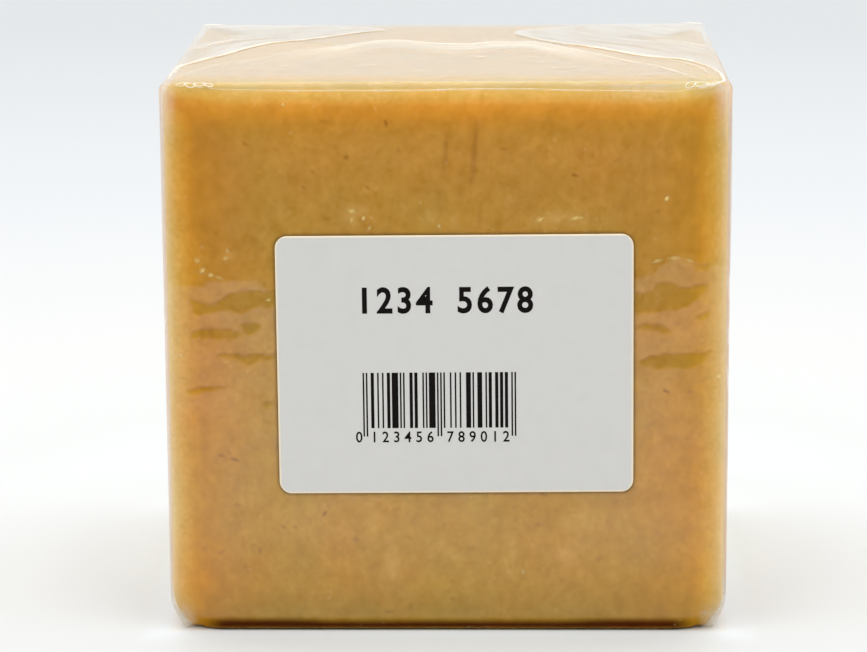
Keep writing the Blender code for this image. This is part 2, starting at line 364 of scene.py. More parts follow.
def tofu_material():
    """Amber pressed tofu, paler where it is dry under loose film. Its golden glow near the edges, its
    brighter top, its dark foot and the lines along the cling patches are painted light and shade.
    """
    material, tree, output = new_material("amber_tofu")
    # Painted light: both ramps make the tofu golden near its edges, for the glow of light passing through
    # them.
    edge = span(tree, attribute(tree, "edge"), 0.0, 24 * MM)
    wet = ramp(tree, edge, [
        (0.00, (0.70, 0.50, 0.200)),
        (0.05, (0.71, 0.45, 0.120)),
        (0.11, (0.71, 0.37, 0.044)),
        (0.19, (0.65, 0.285, 0.010)),
        (0.26, (0.55, 0.245, 0.010)),
        (0.47, (0.515, 0.240, 0.020)),
        (0.90, (0.500, 0.262, 0.026)),
    ])
    dry = ramp(tree, edge, [
        (0.00, (0.74, 0.49, 0.180)),
        (0.05, (0.76, 0.480, 0.120)),
        (0.11, (0.745, 0.390, 0.043)),
        (0.18, (0.650, 0.292, 0.008)),
        (0.25, (0.600, 0.256, 0.008)),
        (0.47, (0.565, 0.268, 0.012)),
        (0.90, (0.550, 0.285, 0.015)),
    ])
    colour = mixed(tree, attribute(tree, "dry"), wet, dry)
    # Painted light: faces that look up get a brighter gold, as the light from above makes them.
    colour = mixed(tree, attribute(tree, "upper"), colour, (0.68, 0.425, 0.095))
    colour = mixed(tree, 1.0, colour, attribute(tree, "tint", "Vector"), "MULTIPLY")
    # Painted shade: the foot turns a deep maroon, for the shade where the tofu meets the floor.
    colour = mixed(tree, attribute(tree, "foot"), colour, (0.065, 0.009, 0.000))
    # Painted shade and highlight: a darker line along the upper border of each cling patch and a paler
    # one along its lower border, where the film steps off the tofu.
    lip = attribute(tree, "lip")
    colour = mixed(tree, span(tree, lip, 0.1, 0.8, 0.0, 0.6), colour, (0.82, 0.72, 0.45), "MULTIPLY")
    colour = mixed(tree, span(tree, lip, -0.1, -0.8, 0.0, 0.6), colour, (1.08, 1.10, 1.20),
                   "MULTIPLY")
    cloud = object_noise(tree, 8 * MM, detail=3.0)
    colour = mixed(tree, span(tree, cloud, 0.30, 0.70), colour, (1.08, 1.07, 1.03), "MULTIPLY")
    drift = object_noise(tree, 12 * MM, detail=3.0, stretch=(1, 1, 0.8))
    tone = mixed(tree, span(tree, drift, 0.35, 0.65), (1.02, 0.975, 0.94), (0.97, 1.02, 1.06))
    colour = mixed(tree, 1.0, colour, tone, "MULTIPLY")
    inner = span(tree, attribute(tree, "edge"), 1 * MM, 6 * MM, 0.35, 1.0)
    mottle = object_noise(tree, 2.6 * MM, detail=8.0, roughness=0.66, stretch=(1.0, 1.0, 0.85))
    shade = mixed(tree, span(tree, mottle, 0.34, 0.66), (0.89, 0.85, 0.52), (1.08, 1.10, 1.50))
    colour = mixed(tree, inner, colour, shade, "MULTIPLY")
    grain = object_noise(tree, 0.7 * MM, detail=3.0, roughness=0.6)
    shade = mixed(tree, span(tree, grain, 0.34, 0.66), (0.955, 0.94, 0.80), (1.04, 1.045, 1.20))
    colour = mixed(tree, 1.0, colour, shade, "MULTIPLY")
    pits = object_noise(tree, 2.6 * MM, detail=6.0, roughness=0.65, stretch=(1.0, 1.0, 1.3))
    colour = mixed(tree, maths(tree, "MULTIPLY", inner, span(tree, pits, 0.60, 0.68, 0.0, 0.6)),
                   colour, (0.80, 0.72, 0.30), "MULTIPLY")
    specks = object_noise(tree, 1.0 * MM, detail=2.0, roughness=0.7, stretch=(1.1, 1.1, 1.1))
    colour = mixed(tree, span(tree, specks, 0.68, 0.76, 0.0, 0.22), colour, (0.95, 0.72, 0.38))
    height = object_noise(tree, 0.9 * MM, detail=4.0)
    bump = add(tree, "ShaderNodeBump", {"Height": height, "Strength": 0.35, "Distance": 0.1 * MM})
    shader = add(tree, "ShaderNodeBsdfPrincipled", {
        "Base Color": colour, "Roughness": 0.6, "Specular IOR Level": 0.04,
        "Subsurface Weight": 0.12, "Subsurface Radius": (1.0, 0.4, 0.1),
        "Subsurface Scale": 3 * MM, "Normal": bump.outputs["Normal"]})
    tree.links.new(shader.outputs["BSDF"], output.inputs["Surface"])
    return material


def pit_material():
    """A brown that tints the tofu behind it, as strong as the attribute depth says."""
    material, tree, output = new_material("tofu_pit")
    tint = mixed(tree, attribute(tree, "depth"), (1.0, 1.0, 1.0), (0.62, 0.44, 0.02))
    shade = add(tree, "ShaderNodeBsdfTransparent", {"Color": tint})
    tree.links.new(shade.outputs[0], output.inputs["Surface"])
    return material


def crinkle_glint_material():
    """Painted highlights of small film crinkles, laid as pale patches over the tofu, as strong as the
    attribute depth says.
    """
    material, tree, output = new_material("painted_crinkle_glint")
    clear = add(tree, "ShaderNodeBsdfTransparent")
    stain = add(tree, "ShaderNodeBsdfDiffuse", {"Color": (0.95, 0.68, 0.20)})
    patch = add(tree, "ShaderNodeMixShader", {0: attribute(tree, "depth"), 1: clear.outputs[0],
                2: stain.outputs[0]})
    tree.links.new(patch.outputs[0], output.inputs["Surface"])
    return material


def film_material():
    """Clear film that reflects more at a glancing angle and lets the rest through.

    Three attributes vary it: air is 0 where the film clings to the wet tofu and 1 where air lies
    behind it, haze is the share of light that it scatters, and shine scales its reflection.
    """
    material, tree, output = new_material("clear_film")
    facing = add(tree, "ShaderNodeLayerWeight", {"Blend": 0.5}).outputs["Facing"]
    straight = span(tree, attribute(tree, "air"), 0.0, 1.0, 0.010, 0.077)
    glancing = maths(tree, "POWER", facing, 6.0)
    rest = maths(tree, "SUBTRACT", 1.0, straight)
    share = maths(tree, "MULTIPLY_ADD", glancing, rest, straight)
    share = maths(tree, "MULTIPLY", share, attribute(tree, "shine"))
    wave = object_noise(tree, 2.2 * MM, detail=2.0)
    bump = add(tree, "ShaderNodeBump", {"Height": wave, "Strength": 0.12, "Distance": 0.1 * MM})
    clear = add(tree, "ShaderNodeBsdfTransparent", {"Color": (0.99, 0.99, 0.985)})
    gloss = add(tree, "ShaderNodeBsdfGlossy", {"Color": (1.0, 1.0, 1.0), "Roughness": 0.05,
                "Normal": bump.outputs["Normal"]})
    film = add(tree, "ShaderNodeMixShader", {0: share, 1: clear.outputs[0], 2: gloss.outputs[0]})
    scatter = add(tree, "ShaderNodeBsdfDiffuse", {"Color": (0.93, 0.89, 0.79)})
    hazy = add(tree, "ShaderNodeMixShader", {0: attribute(tree, "haze"), 1: film.outputs[0],
               2: scatter.outputs[0]})
    tree.links.new(hazy.outputs[0], output.inputs["Surface"])
    return material


def paper_material():
    """Matt label paper; the cream band along its border is partly the cut edge's own warm tone and partly
    a painted highlight.
    """
    material, tree, output = new_material("label_paper")
    fibre = object_noise(tree, 2.4 * MM, detail=4.0)
    grey = mixed(tree, fibre, (0.684, 0.675, 0.650), (0.726, 0.716, 0.690))
    # Cream band along the border: the edge's own tone with a painted highlight.
    colour = mixed(tree, attribute(tree, "rim"), grey, (0.97, 0.84, 0.63))
    bump = add(tree, "ShaderNodeBump", {"Height": fibre, "Strength": 0.1, "Distance": 0.05 * MM})
    shader = add(tree, "ShaderNodeBsdfPrincipled", {"Base Color": colour, "Roughness": 0.55,
                 "Specular IOR Level": 0.25, "Normal": bump.outputs["Normal"]})
    tree.links.new(shader.outputs["BSDF"], output.inputs["Surface"])
    return material


def ink_material():
    material, tree, output = new_material("label_ink")
    speckle = object_noise(tree, 0.25 * MM, detail=1.0)
    colour = mixed(tree, speckle, (0.003, 0.002, 0.002), (0.010, 0.007, 0.006))
    shader = add(tree, "ShaderNodeBsdfPrincipled", {"Base Color": colour, "Roughness": 0.7,
                 "Specular IOR Level": 0.08})
    tree.links.new(shader.outputs["BSDF"], output.inputs["Surface"])
    return material


def label_shadow_material():
    """The thin dark line of painted shadow round the label, fading outwards."""
    material, tree, output = new_material("label_painted_shadow")
    clear = add(tree, "ShaderNodeBsdfTransparent")
    brown = add(tree, "ShaderNodeBsdfDiffuse", {"Color": (0.12, 0.075, 0.03)})
    line = add(tree, "ShaderNodeMixShader", {0: attribute(tree, "glue"), 1: clear.outputs[0],
               2: brown.outputs[0]})
    tree.links.new(line.outputs[0], output.inputs["Surface"])
    return material


# ---------------------------------------------------------------- tofu and film walls

# Above this (x, z) line the film of the front wall clings to the tofu; below it lies loose.
CLING_LINE = [(-47, 59.3), (-42.5, 58.4), (-39.3, 58.4), (-38.6, 59.3), (-30.5, 59.4),
              (-29.9, 58.6), (-27.5, 57.5), (30.5, 59.4), (33.7, 60.4), (34.8, 61.3),
              (37.4, 63.2), (40.4, 62.0), (47, 61.5)]
# Outlines of the patches below that line where it clings again, as (x, z) in mm.
CLINGS = [
    [(-41.8, 56.0), (-38.1, 55.4), (-36.9, 55.7), (-34.7, 57.2), (-33.2, 57.6), (-27, 57.5),
     (-27, 55.2), (-31.3, 54.9), (-34.0, 53.8), (-37.0, 54.5), (-38.1, 54.0), (-41.3, 53.6)],
    [(-41.6, 50.5), (-40.0, 51.3), (-37.4, 51.5), (-34.8, 51.2), (-33.6, 50.8), (-33.7, 49.9),
     (-35.6, 49.6), (-40.1, 49.5), (-41.4, 49.9)],
    [(-33.6, 52.0), (-32.1, 52.4), (-30.6, 52.2), (-29.8, 51.7), (-30.7, 50.7), (-33.3, 50.3)],
    [(-37.5, 46.8), (-35.2, 47.1), (-33.4, 46.8), (-31.7, 46.9), (-30.0, 47.3), (-28.0, 47.0),
     (-28.0, 46.1), (-30.2, 46.1), (-31.9, 45.2), (-33.4, 45.5), (-34.9, 46.2), (-37.5, 46.3)],
    [(-42.7, 40.9), (-40.2, 41.4), (-37.2, 41.7), (-35.7, 41.5), (-38.0, 41.0), (-40.3, 40.4),
     (-41.6, 40.2)],
    [(-30.4, 38.6), (-29.4, 39.2), (-28.4, 39.0), (-29.2, 38.4)],
    [(30.0, 57.1), (33.8, 57.3), (34.1, 58.8), (35.2, 59.0), (36.7, 58.5), (38.6, 58.2),
     (42.5, 58.6), (42.3, 57.8), (40.5, 55.6), (38.6, 55.0), (37.5, 54.5), (36.0, 54.6),
     (34.7, 54.0), (30.0, 53.8)],
    [(30.9, 51.8), (32.3, 52.0), (34.5, 51.9), (35.7, 51.6), (36.8, 50.7), (35.7, 50.5),
     (33.2, 50.9), (31.0, 51.3)],
    [(40.1, 52.8), (41.6, 53.5), (42.8, 54.0), (42.6, 53.2), (41.4, 52.5)],
    [(31.2, 46.1), (34.8, 46.8), (37.6, 47.0), (43.2, 47.2), (42.3, 46.1), (41.0, 45.2),
     (39.1, 44.6), (36.8, 44.8), (34.8, 44.5), (32.7, 45.1), (31.2, 45.4)],
    [(40.0, 61.5), (42.8, 61.8), (42.5, 61.0), (40.3, 60.9)],
]
FRONT_SPAN_Z = (37 * MM, 65 * MM)            # heights between which those patches lie
# LIP sets the width of the painted shade and highlight lines along the cling patches' borders.
LIP = 0.25 * MM                              # half the width of the lines along their borders


def cling_share(points, rise=0.0):
    """1 where the film clings in the patches, 0 where it does not; the borders waver a little.

    The share is that of the places a little higher, by rise, than the given points.
    """
    waver = np.stack([soft_noise(points, 1.8 * MM, 11), soft_noise(points, 1.2 * MM, 12)], axis=1)
    ragged = np.stack([soft_noise(points, 0.7 * MM, 16), soft_noise(points, 0.6 * MM, 17)], axis=1)
    flat = points[:, [0, 2]] + 0.28 * MM * waver + 0.14 * MM * ragged + (0, rise)
    on_front = points[:, 1] < FRONT_Y + 2 * MM
    share = np.zeros(len(points))
    near = on_front & (points[:, 2] > FRONT_SPAN_Z[0]) & (points[:, 2] < FRONT_SPAN_Z[1])
    for outline in CLINGS:
        share[near] = np.maximum(share[near], inside(flat[near], outline, 0.20 * MM))
    drawn_out = soft_noise(points * (0.22, 0.22, 1.0), 2.4 * MM, 13)
    belt = smooth(np.abs(points[:, 2] - 50 * MM), 16 * MM, 8 * MM)
    return np.where(on_front, share, belt * smooth(drawn_out, 0.30, 0.42))


def looseness(points):
    """How loosely the film lies against the walls: 0 clinging, 1 with air behind it."""
    line = np.array(CLING_LINE) * MM
    border = np.interp(points[:, 0], line[:, 0], line[:, 1])
    border += 0.3 * MM * soft_noise(points, 2.5 * MM, 14)
    loose = smooth(border - points[:, 2], -0.25 * MM, 0.35 * MM) * (1 - cling_share(points))
    patchy = 0.16 * soft_noise(points, 7 * MM, 7)
    patchy += 0.14 * soft_noise(points * (0.45, 0.45, 1.0), 1.5 * MM, 8)
    air = 0.04 + (0.80 + patchy) * loose
    low = 0.5 * smooth(points[:, 2], 18 * MM, 5 * MM)
    low *= 0.5 + 0.5 * smooth(points[:, 2], 2.2 * MM, 4.5 * MM)
    beside = 0.18 * smooth(HALF_X - np.abs(points[:, 0]), 11 * MM, 5 * MM)
    return np.clip(air * smooth(points[:, 2], 1.0 * MM, 2.0 * MM) * (1 - low) * (1 - beside), 0, 1)


# Long shallow upright grooves in the front of the tofu, with painted shade along them: x and z of the
# ends in mm, and depth.
GROOVES = [((0.4, 84.5), (-0.4, 76.0), 0.60), ((5.1, 86.5), (4.1, 73.5), 0.70),
           ((2.4, 80.0), (2.2, 71.0), 0.22), ((5.6, 72.5), (5.2, 67.5), 0.30),
           ((-0.8, 75.0), (-1.2, 68.5), 0.25)]


def grooves(points):
    """Depth, from 0 to 1, of the grooves in the front of the tofu."""
    waver = np.stack([soft_noise(points, 1.5 * MM, 18), soft_noise(points, 1.1 * MM, 19)], axis=1)
    flat = points[:, [0, 2]] + 0.25 * MM * waver
    total = np.zeros(len(points))
    for start, end, depth in GROOVES:
        a, b = np.array(start) * MM, np.array(end) * MM
        along = np.clip((flat - a) @ (b - a) / ((b - a) @ (b - a)), 0, 1)
        gap = np.linalg.norm(flat - a - along[:, None] * (b - a), axis=1)
        fade = smooth(along, 0.0, 0.3) * smooth(along, 1.0, 0.7)
        total = np.maximum(total, depth * fade * smooth(gap, 0.75 * MM, 0.1 * MM))
    return total * (points[:, 1] < FRONT_Y + 2 * MM)


# Paler clouds in the front of the tofu: centre x and z, half width and height in mm, strength.
CLOUDS = [
    (-14.8, 70.0, 2.4, 2.2, 0.9), (-2.6, 69.2, 1.5, 2.0, 0.6), (18.6, 69.5, 5.4, 1.5, 0.9),
    (10.4, 13.5, 1.3, 6.2, 0.7), (-12.2, 20.6, 1.4, 3.0, 0.7), (-8.9, 11.0, 1.5, 6.6, 0.5),
    (21.5, 18.6, 4.0, 3.0, 0.5), (20.2, 13.0, 2.4, 2.6, 0.5), (38.0, 62.4, 3.6, 1.2, 0.6),
    (31.6, 26.4, 2.2, 1.8, 0.5), (-24.6, 30.8, 2.0, 1.4, 0.4), (-35.4, 63.1, 1.6, 1.2, 0.6),
    (-26.2, 71.2, 1.4, 1.0, 0.5), (10.2, 72.3, 1.4, 1.0, 0.4), (2.3, 69.0, 1.0, 1.8, 0.4),
    (-40.0, 62.6, 2.0, 0.8, 0.6), (-20.0, 21.5, 1.6, 1.0, 0.4), (-2.0, 15.0, 3.0, 4.0, 0.3),
]


def tofu_tint(points):
    """Factors on the tofu's colour: broad shifts near the edges and the marks in its front, with painted
    shade low down and in the grooves, and painted light under the top edge.
    """
    x, z = points[:, 0], points[:, 2]
    gap_x = HALF_X - np.abs(x)
    front = points[:, 1] < FRONT_Y + 3 * MM
    right = smooth(x, 0, 20 * MM)
    beside = smooth(gap_x, 1 * MM, 4 * MM) * smooth(gap_x, 12 * MM, 7 * MM)
    high = smooth(z, 64 * MM, 72 * MM)
    shifts = [
        # Painted shade: darker towards the floor.
        (smooth(z, 9 * MM, 2.5 * MM), (0.82, 0.88, 0.84)),
        # Painted light: bands under the top edge for the glow of light through it, and painted shade on
        # its rounding at the front.
        (smooth(np.abs(z - 81.5 * MM), 6 * MM, 2 * MM) * smooth(gap_x, 8 * MM, 13 * MM),
         (1.06, 1.09, 1.25)),
        (smooth(np.abs(z - 86.6 * MM), 3.0 * MM, 1.0 * MM), (1.08, 1.03, 0.85)),
        (smooth(np.abs(z - 88.6 * MM), 2.0 * MM, 0.6 * MM) * front, (0.99, 0.90, 0.78)),
        (smooth(z, 89.4 * MM, 90.6 * MM) * front, (0.91, 0.95, 1.3)),
        (smooth(x, 18 * MM, 38 * MM) * smooth(z, 86 * MM, 89 * MM) * front, (1.06, 1.18, 2.2)),
        (beside * right, (1.0, 1.03, 0.93)),
        (beside * high, (0.97, 0.97, 0.74)),
        (cling_share(points) * front, (0.90, 0.97, 0.90)),
        # Painted shade: darker along the grooves.
        (grooves(points), (0.72, 0.64, 0.48)),
    ]
    flat = points[:, [0, 2]] + 0.6 * MM * np.stack([soft_noise(points, 1.6 * MM, 84),
                                                    soft_noise(points, 1.3 * MM, 85)], axis=1)
    for mid_x, mid_z, half_x, half_z, strength in CLOUDS:
        reach = np.hypot((flat[:, 0] / MM - mid_x) / half_x, (flat[:, 1] / MM - mid_z) / half_z)
        shifts.append((strength * front * smooth(reach, 1.2, 0.2), (1.15, 1.25, 2.6)))
    tint = np.ones((len(points), 3))
    for share, factors in shifts:
        tint *= 1 + share[:, None] * (np.array(factors) - 1)
    return tint


def edge_distance(points):
    """Distance along the surface to the nearest edge, leaving out the edges of the base."""
    gaps = np.stack([HALF_X - np.abs(points[:, 0]), HALF_Y - np.abs(points[:, 1] - MID_Y),
                     SKIN_TOP - points[:, 2]], axis=1)
    return np.clip(np.sort(gaps, axis=1)[:, 1], 0, None)


def build_tofu(material):
    half_x, half_y = HALF_X - SIDE_AIR, HALF_Y - AIR
    low, high = SKIN_BASE + 0.05 * MM, SKIN_TOP - AIR
    xs = graded(-half_x, half_x, 0.42 * MM, 1.0 * MM, 16 * MM, [(-1.5 * MM, 6.5 * MM)])
    ys = graded(MID_Y - half_y, MID_Y + half_y, 0.5 * MM, 1.2 * MM, 6 * MM)
    zs = graded(low, high, 0.42 * MM, 1.0 * MM, 6 * MM, [FRONT_SPAN_Z])
    points, quads = box_lattice(xs, ys, zs)
    points, normals = round_box(points, half_x, half_y, low, high,
                                (TOFU_RADIUS, TOFU_SHARP_RADIUS, TOFU_BASE_RADIUS,
                                 TOFU_CORNER_EXTRA, TOFU_TUCK))
    relief = WALL_SWELL * wall_swell(points)
    relief -= 0.06 * MM * (1 + soft_noise(points, 14 * MM, 1))
    relief -= 0.03 * MM * (1 + soft_noise(points, 3 * MM, 2))
    relief -= 0.08 * MM * grooves(points)
    relief *= smooth(normals[:, 2], -1.0, -0.6)
    relief += rear_rise(points + (0, 0, AIR))
    # The foot's painted shade: low on the walls, weaker near the side edges and eased in the lowest
    # fraction of a millimetre.
    gap_x = HALF_X - np.abs(points[:, 0])
    inward = smooth(gap_x, 4 * MM, 9 * MM)
    rise = 0.25 * MM * smooth(np.abs(gap_x - 15 * MM), 12 * MM, 4 * MM)
    foot = smooth(points[:, 2] - rise, 2.5 * MM, 1.0 * MM) * (0.06 + 0.94 * inward)
    foot *= 1 - 0.5 * smooth(points[:, 2], 0.8 * MM, 0.4 * MM)
    # Painted shade: less red and green on the rounding of the front's top edge, against the light that
    # falls there.
    over_edge = smooth(normals[:, 2], 0.70, 0.86) \
        * smooth(points[:, 1], FRONT_Y + 9 * MM, FRONT_Y + 6 * MM)
    tint = tofu_tint(points) * (1 + np.outer(over_edge, (-0.13, -0.06, 0.04)))
    return mesh_piece("tofu", points + normals * relief[:, None], quads, material,
                      "wrapped_block", {
                          "edge": edge_distance(points),
                          "dry": looseness(points),
                          # upper: share of faces that look up, which take the painted light
                          "upper": smooth(normals[:, 2], 0.12, 0.55),
                          "foot": foot,
                          "tint": tint,
                          # lip: positive on the painted shade lines, negative on the painted highlight
                          # lines
                          "lip": cling_share(points, -LIP) - cling_share(points, LIP)})


# Marks in the front of the tofu as ovals: x and z of the two ends in mm, half width, strength.
PITS = [
    (-9.6, 85.6, -9.4, 84.2, 0.22, 0.55), (-16.2, 79.7, -15.7, 79.3, 0.25, 0.45),
    (-32.6, 82.1, -31.3, 81.1, 0.16, 0.45), (-23.2, 74.8, -22.6, 74.4, 0.20, 0.50),
    (-25.6, 71.4, -24.9, 71.1, 0.20, 0.35), (-13.0, 74.9, -12.2, 74.2, 0.20, 0.40),
    (-21.8, 77.4, -21.0, 76.9, 0.18, 0.35), (-7.6, 81.0, -7.5, 80.4, 0.20, 0.35),
    (9.0, 80.9, 10.2, 80.4, 0.20, 0.45), (20.2, 76.6, 21.6, 76.3, 0.22, 0.55),
    (27.0, 78.7, 28.2, 79.1, 0.20, 0.35), (33.9, 70.7, 34.4, 70.4, 0.20, 0.40),
    (-20.5, 19.8, -19.9, 20.6, 0.25, 0.60), (-27.4, 18.1, -26.6, 17.6, 0.25, 0.45),
    (-25.3, 18.0, -24.7, 17.6, 0.20, 0.35), (-15.4, 15.6, -14.7, 15.9, 0.30, 0.30),
    (-6.6, 16.4, -6.0, 15.8, 0.30, 0.30), (-31.1, 14.6, -30.9, 13.0, 0.20, 0.40),
    (-37.7, 13.2, -36.6, 14.0, 0.18, 0.35), (-35.0, 21.8, -33.9, 21.4, 0.20, 0.40),
    (-37.7, 30.2, -36.0, 29.7, 0.20, 0.40), (-35.8, 29.7, -34.1, 29.0, 0.22, 0.55),
    (35.2, 41.0, 36.3, 40.5, 0.22, 0.55), (39.2, 40.9, 39.9, 40.6, 0.20, 0.40),
    (14.5, 18.4, 15.4, 18.1, 0.25, 0.35), (15.4, 23.4, 16.6, 23.2, 0.20, 0.35),
    (0.2, 5.8, 1.4, 5.3, 0.22, 0.35), (-10.6, 3.4, -9.0, 3.3, 0.25, 0.35),
    (24.6, 12.2, 25.6, 12.6, 0.20, 0.35), (30.2, 8.2, 31.4, 8.0, 0.20, 0.30),
]
# Painted highlights of small crinkles in the film, as pale patches on the tofu: x and z of the two ends
# in mm, half width, strength.
CRINKLE_GLINTS = [
    (-15.9, 71.2, -14.5, 70.3, 0.69, 0.75), (-13.6, 69.4, -13.0, 69.5, 0.56, 0.70),
    (-15.4, 69.4, -14.9, 69.4, 0.53, 0.60), (-12.6, 67.9, -12.3, 67.7, 0.53, 0.60),
    (-1.4, 68.4, -0.8, 68.1, 0.53, 0.60), (14.1, 68.9, 16.4, 69.6, 0.43, 0.64),
    (19.6, 68.9, 22.6, 69.9, 0.43, 0.64), (-40.9, 62.6, -39.6, 62.8, 0.45, 0.70),
    (-39.8, 61.1, -39.2, 60.6, 0.59, 0.80), (-39.2, 60.6, -37.2, 59.8, 0.33, 0.70),
    (-37.6, 59.9, -36.2, 59.6, 0.29, 0.60), (-36.2, 62.7, -35.3, 62.9, 0.39, 0.60),
    (-35.6, 64.6, -35.2, 63.9, 0.45, 0.55), (33.0, 62.0, 35.4, 62.9, 0.33, 0.55),
    (35.4, 62.9, 38.2, 63.0, 0.33, 0.60), (38.2, 63.0, 40.6, 62.0, 0.33, 0.55),
    (35.4, 72.9, 35.8, 72.5, 0.53, 0.80), (-26.2, 88.0, -25.8, 88.0, 0.43, 0.60),
    (-29.4, 56.2, -28.4, 56.0, 0.36, 0.64), (-43.4, 47.4, -43.2, 46.4, 0.45, 0.64),
    (44.2, 43.8, 44.4, 42.6, 0.45, 0.64), (12.2, 10.6, 12.4, 10.0, 0.43, 0.55),
]


def build_marks(name, marks, core, lift, material):
    """Every mark as a ragged oval patch close to the tofu, at full strength inside its core."""
    rows, columns = 17, 11
    along, across = (part.ravel() for part in np.meshgrid(
        np.linspace(-1, 1, rows), np.linspace(-1, 1, columns), indexing="ij"))
    reach_out = np.hypot(along, across)
    points, quads, depths = [], [], []
    for number, (x0, z0, x1, z1, half_width, strength) in enumerate(marks):
        middle, reach = np.array([x0 + x1, z0 + z1]) / 2 * MM, np.array([x1 - x0, z1 - z0]) / 2 * MM
        ahead = reach / np.linalg.norm(reach)
        aside = np.array([-ahead[1], ahead[0]])
        flat = middle + np.outer(along, reach + 0.30 * MM * ahead) \
            + np.outer(across, 1.5 * half_width * MM * aside)
        places = np.column_stack([flat[:, 0], np.zeros(len(flat)), flat[:, 1]])
        flat += np.outer(0.5 * half_width * MM * soft_noise(places, 0.8 * MM, 80), aside)
        ragged = reach_out + 0.25 * soft_noise(places, 0.5 * MM, 81)
        points.append(np.column_stack([flat[:, 0], front_surface(*flat.T) + lift, flat[:, 1]]))
        quads.append(grid_faces(rows, columns, rows * columns * number))
        depths.append(strength * smooth(ragged, 0.90, core) * (reach_out < 0.99))
    return mesh_piece(name, np.concatenate(points), np.concatenate(quads), material,
                      "wrapped_block", {"depth": np.clip(np.concatenate(depths), 0, 1)})


def film_piece(name, points, quads, material, air, haze, shine=1.0):
    count = len(points)
    return mesh_piece(name, points, quads, material, "wrapped_block", {
        "air": np.broadcast_to(air, count), "haze": np.broadcast_to(haze, count),
        "shine": np.broadcast_to(shine, count)})


def build_film_walls(material):
    """The film round the walls, with its tucked-in ends closing the top and the base."""
    xs = graded(-HALF_X, HALF_X, 0.45 * MM, 0.9 * MM, 17 * MM)
    ys = graded(FRONT_Y, BACK_Y, 0.4 * MM, 1.4 * MM, 5 * MM)
    zs = graded(SKIN_BASE, SKIN_TOP, 0.4 * MM, 1.0 * MM, 5 * MM, [FRONT_SPAN_Z])
    places, quads = box_lattice(xs, ys, zs)
    air = looseness(places)
    points, normals = hug(places, 0.10 * MM * (air - 0.9) * cling_share(places))
    air = np.maximum(air, smooth(normals[:, 2], 0.5, 0.95))
    gap_x = HALF_X - np.abs(points[:, 0])
    foot = smooth(points[:, 2], 3.0 * MM, 1.7 * MM) * smooth(gap_x, 1 * MM, 6 * MM)
    gap_y = HALF_Y - np.abs(points[:, 1] - MID_Y)
    pouch = smooth(points[:, 2], 6 * MM, 1.5 * MM) * smooth(gap_x, 5 * MM, 1.5 * MM) \
        * smooth(gap_y, 9 * MM, 3 * MM)
    haze = 0.012 + 0.012 * air * (normals[:, 2] < 0.5)
    upright = 1 - 0.75 * smooth(normals[:, 2], 0.3, 0.8)
    haze += upright * 0.05 * smooth(gap_x, 4.0 * MM, 0.0)
    haze += upright * 0.22 * smooth(gap_x, 1.6 * MM, 0.3 * MM)
    haze += upright * 0.25 * smooth(gap_x, 3.2 * MM, 1.0 * MM) \
        * smooth(points[:, 2], 80 * MM, 90 * MM)
    haze *= 1 - 0.95 * smooth(gap_x, 0.60 * MM, 0.30 * MM)
    haze = haze * (1 - foot) + 0.34 * pouch * (1 + 0.2 * soft_noise(points, 2 * MM, 9))
    over_edge = smooth(normals[:, 2], 0.15, 0.45) * smooth(normals[:, 2], 0.92, 0.75)
    shine = (1 - 0.95 * foot) * (1 - 0.6 * pouch) * (1 - 0.8 * over_edge * (points[:, 1] < MID_Y))
    near_front = smooth(points[:, 1], FRONT_Y + 13 * MM, FRONT_Y + 2 * MM)
    shine *= 1 + (0.4 - 0.6 * near_front) * smooth(normals[:, 2], 0.6, 0.95)
    at_front = smooth(points[:, 1], FRONT_Y + 3 * MM, FRONT_Y + 1 * MM)
    shine *= 1 - 0.35 * at_front * smooth(gap_x, 0.20 * MM, 0.05 * MM)
    return film_piece("film_walls", points, quads, material, air, haze, shine)


# ---------------------------------------------------------------- folds on the top

TOP = SKIN_TOP / MM + 1                      # a height in mm above the top, for hug() to lower
WALL_X = HALF_X / MM - 1.2                   # flaps start here, down on the rounded edges
WALL_FRONT = FRONT_Y / MM + 1.2
WALL_BACK = BACK_Y / MM - 1.2

# Free edges of the flaps on the top and where they meet, as (x, y) in mm.
HEM_LEFT = [(-WALL_X, -33), (-45.0, -21), (-43.6, -14.5), (-41.2, -8.6), (-38.3, -3.0),
            (-35.9, 4.2), (-33.6, 9.0), (-31.6, 12.2), (-28.6, 14.6), (-24.9, 17.4),
            (-21.6, 21.0), (-18.2, 24.4), (-14.4, 28.0), (-11.7, 29.3)]
HEM_RIGHT = [(WALL_X, -36), (44.6, -27), (43.4, -20.5), (41.7, -14.8), (39.3, -10.6),
             (36.1, -8.2), (32.2, -5.0), (28.4, 1.2), (24.4, 6.0), (20.4, 10.0), (16.3, 15.0),
             (12.6, 20.9), (11.2, 24.6)]
BACK_LEFT = [(-11.7, 29.3), (-15, 33.2), (-22.4, 36.3)]
BACK_RIGHT = [(11.2, 24.6), (13.4, 29.6), (23.0, 35.2)]
FRONT_LEFT = [(-WALL_X, -36), (-43.4, -29.6), (-41.4, -23.6), (-39.0, -17.0), (-36.4, -13.4),
              (-33.4, -11.2), (-30.6, -6.6), (-28.0, -0.6), (-23.7, 3.6), (-18.5, 8.6),
              (-13.6, 14.4)]
FRONT_RIGHT = [(WALL_X, -37), (42.6, -36.4), (39.5, -31.0), (37.2, -25.2), (34.6, -19.1),
               (30.5, -13.6), (26.4, -6.4), (20.6, 4.0), (14.5, 13.2)]
FRONT_CUT = [(-13.6, 14.4), (-10.2, 15.4), (-5.9, 12.8), (-1.5, 10.0), (3.4, 9.8), (7.9, 12.2),
             (12.1, 12.8), (14.5, 13.2)]
BACK_TIP = [(-WALL_X, 30), (-34, 20), (-15, 6.0), (0, 3.5), (15, 5.0), (34, 19), (WALL_X, 30)]


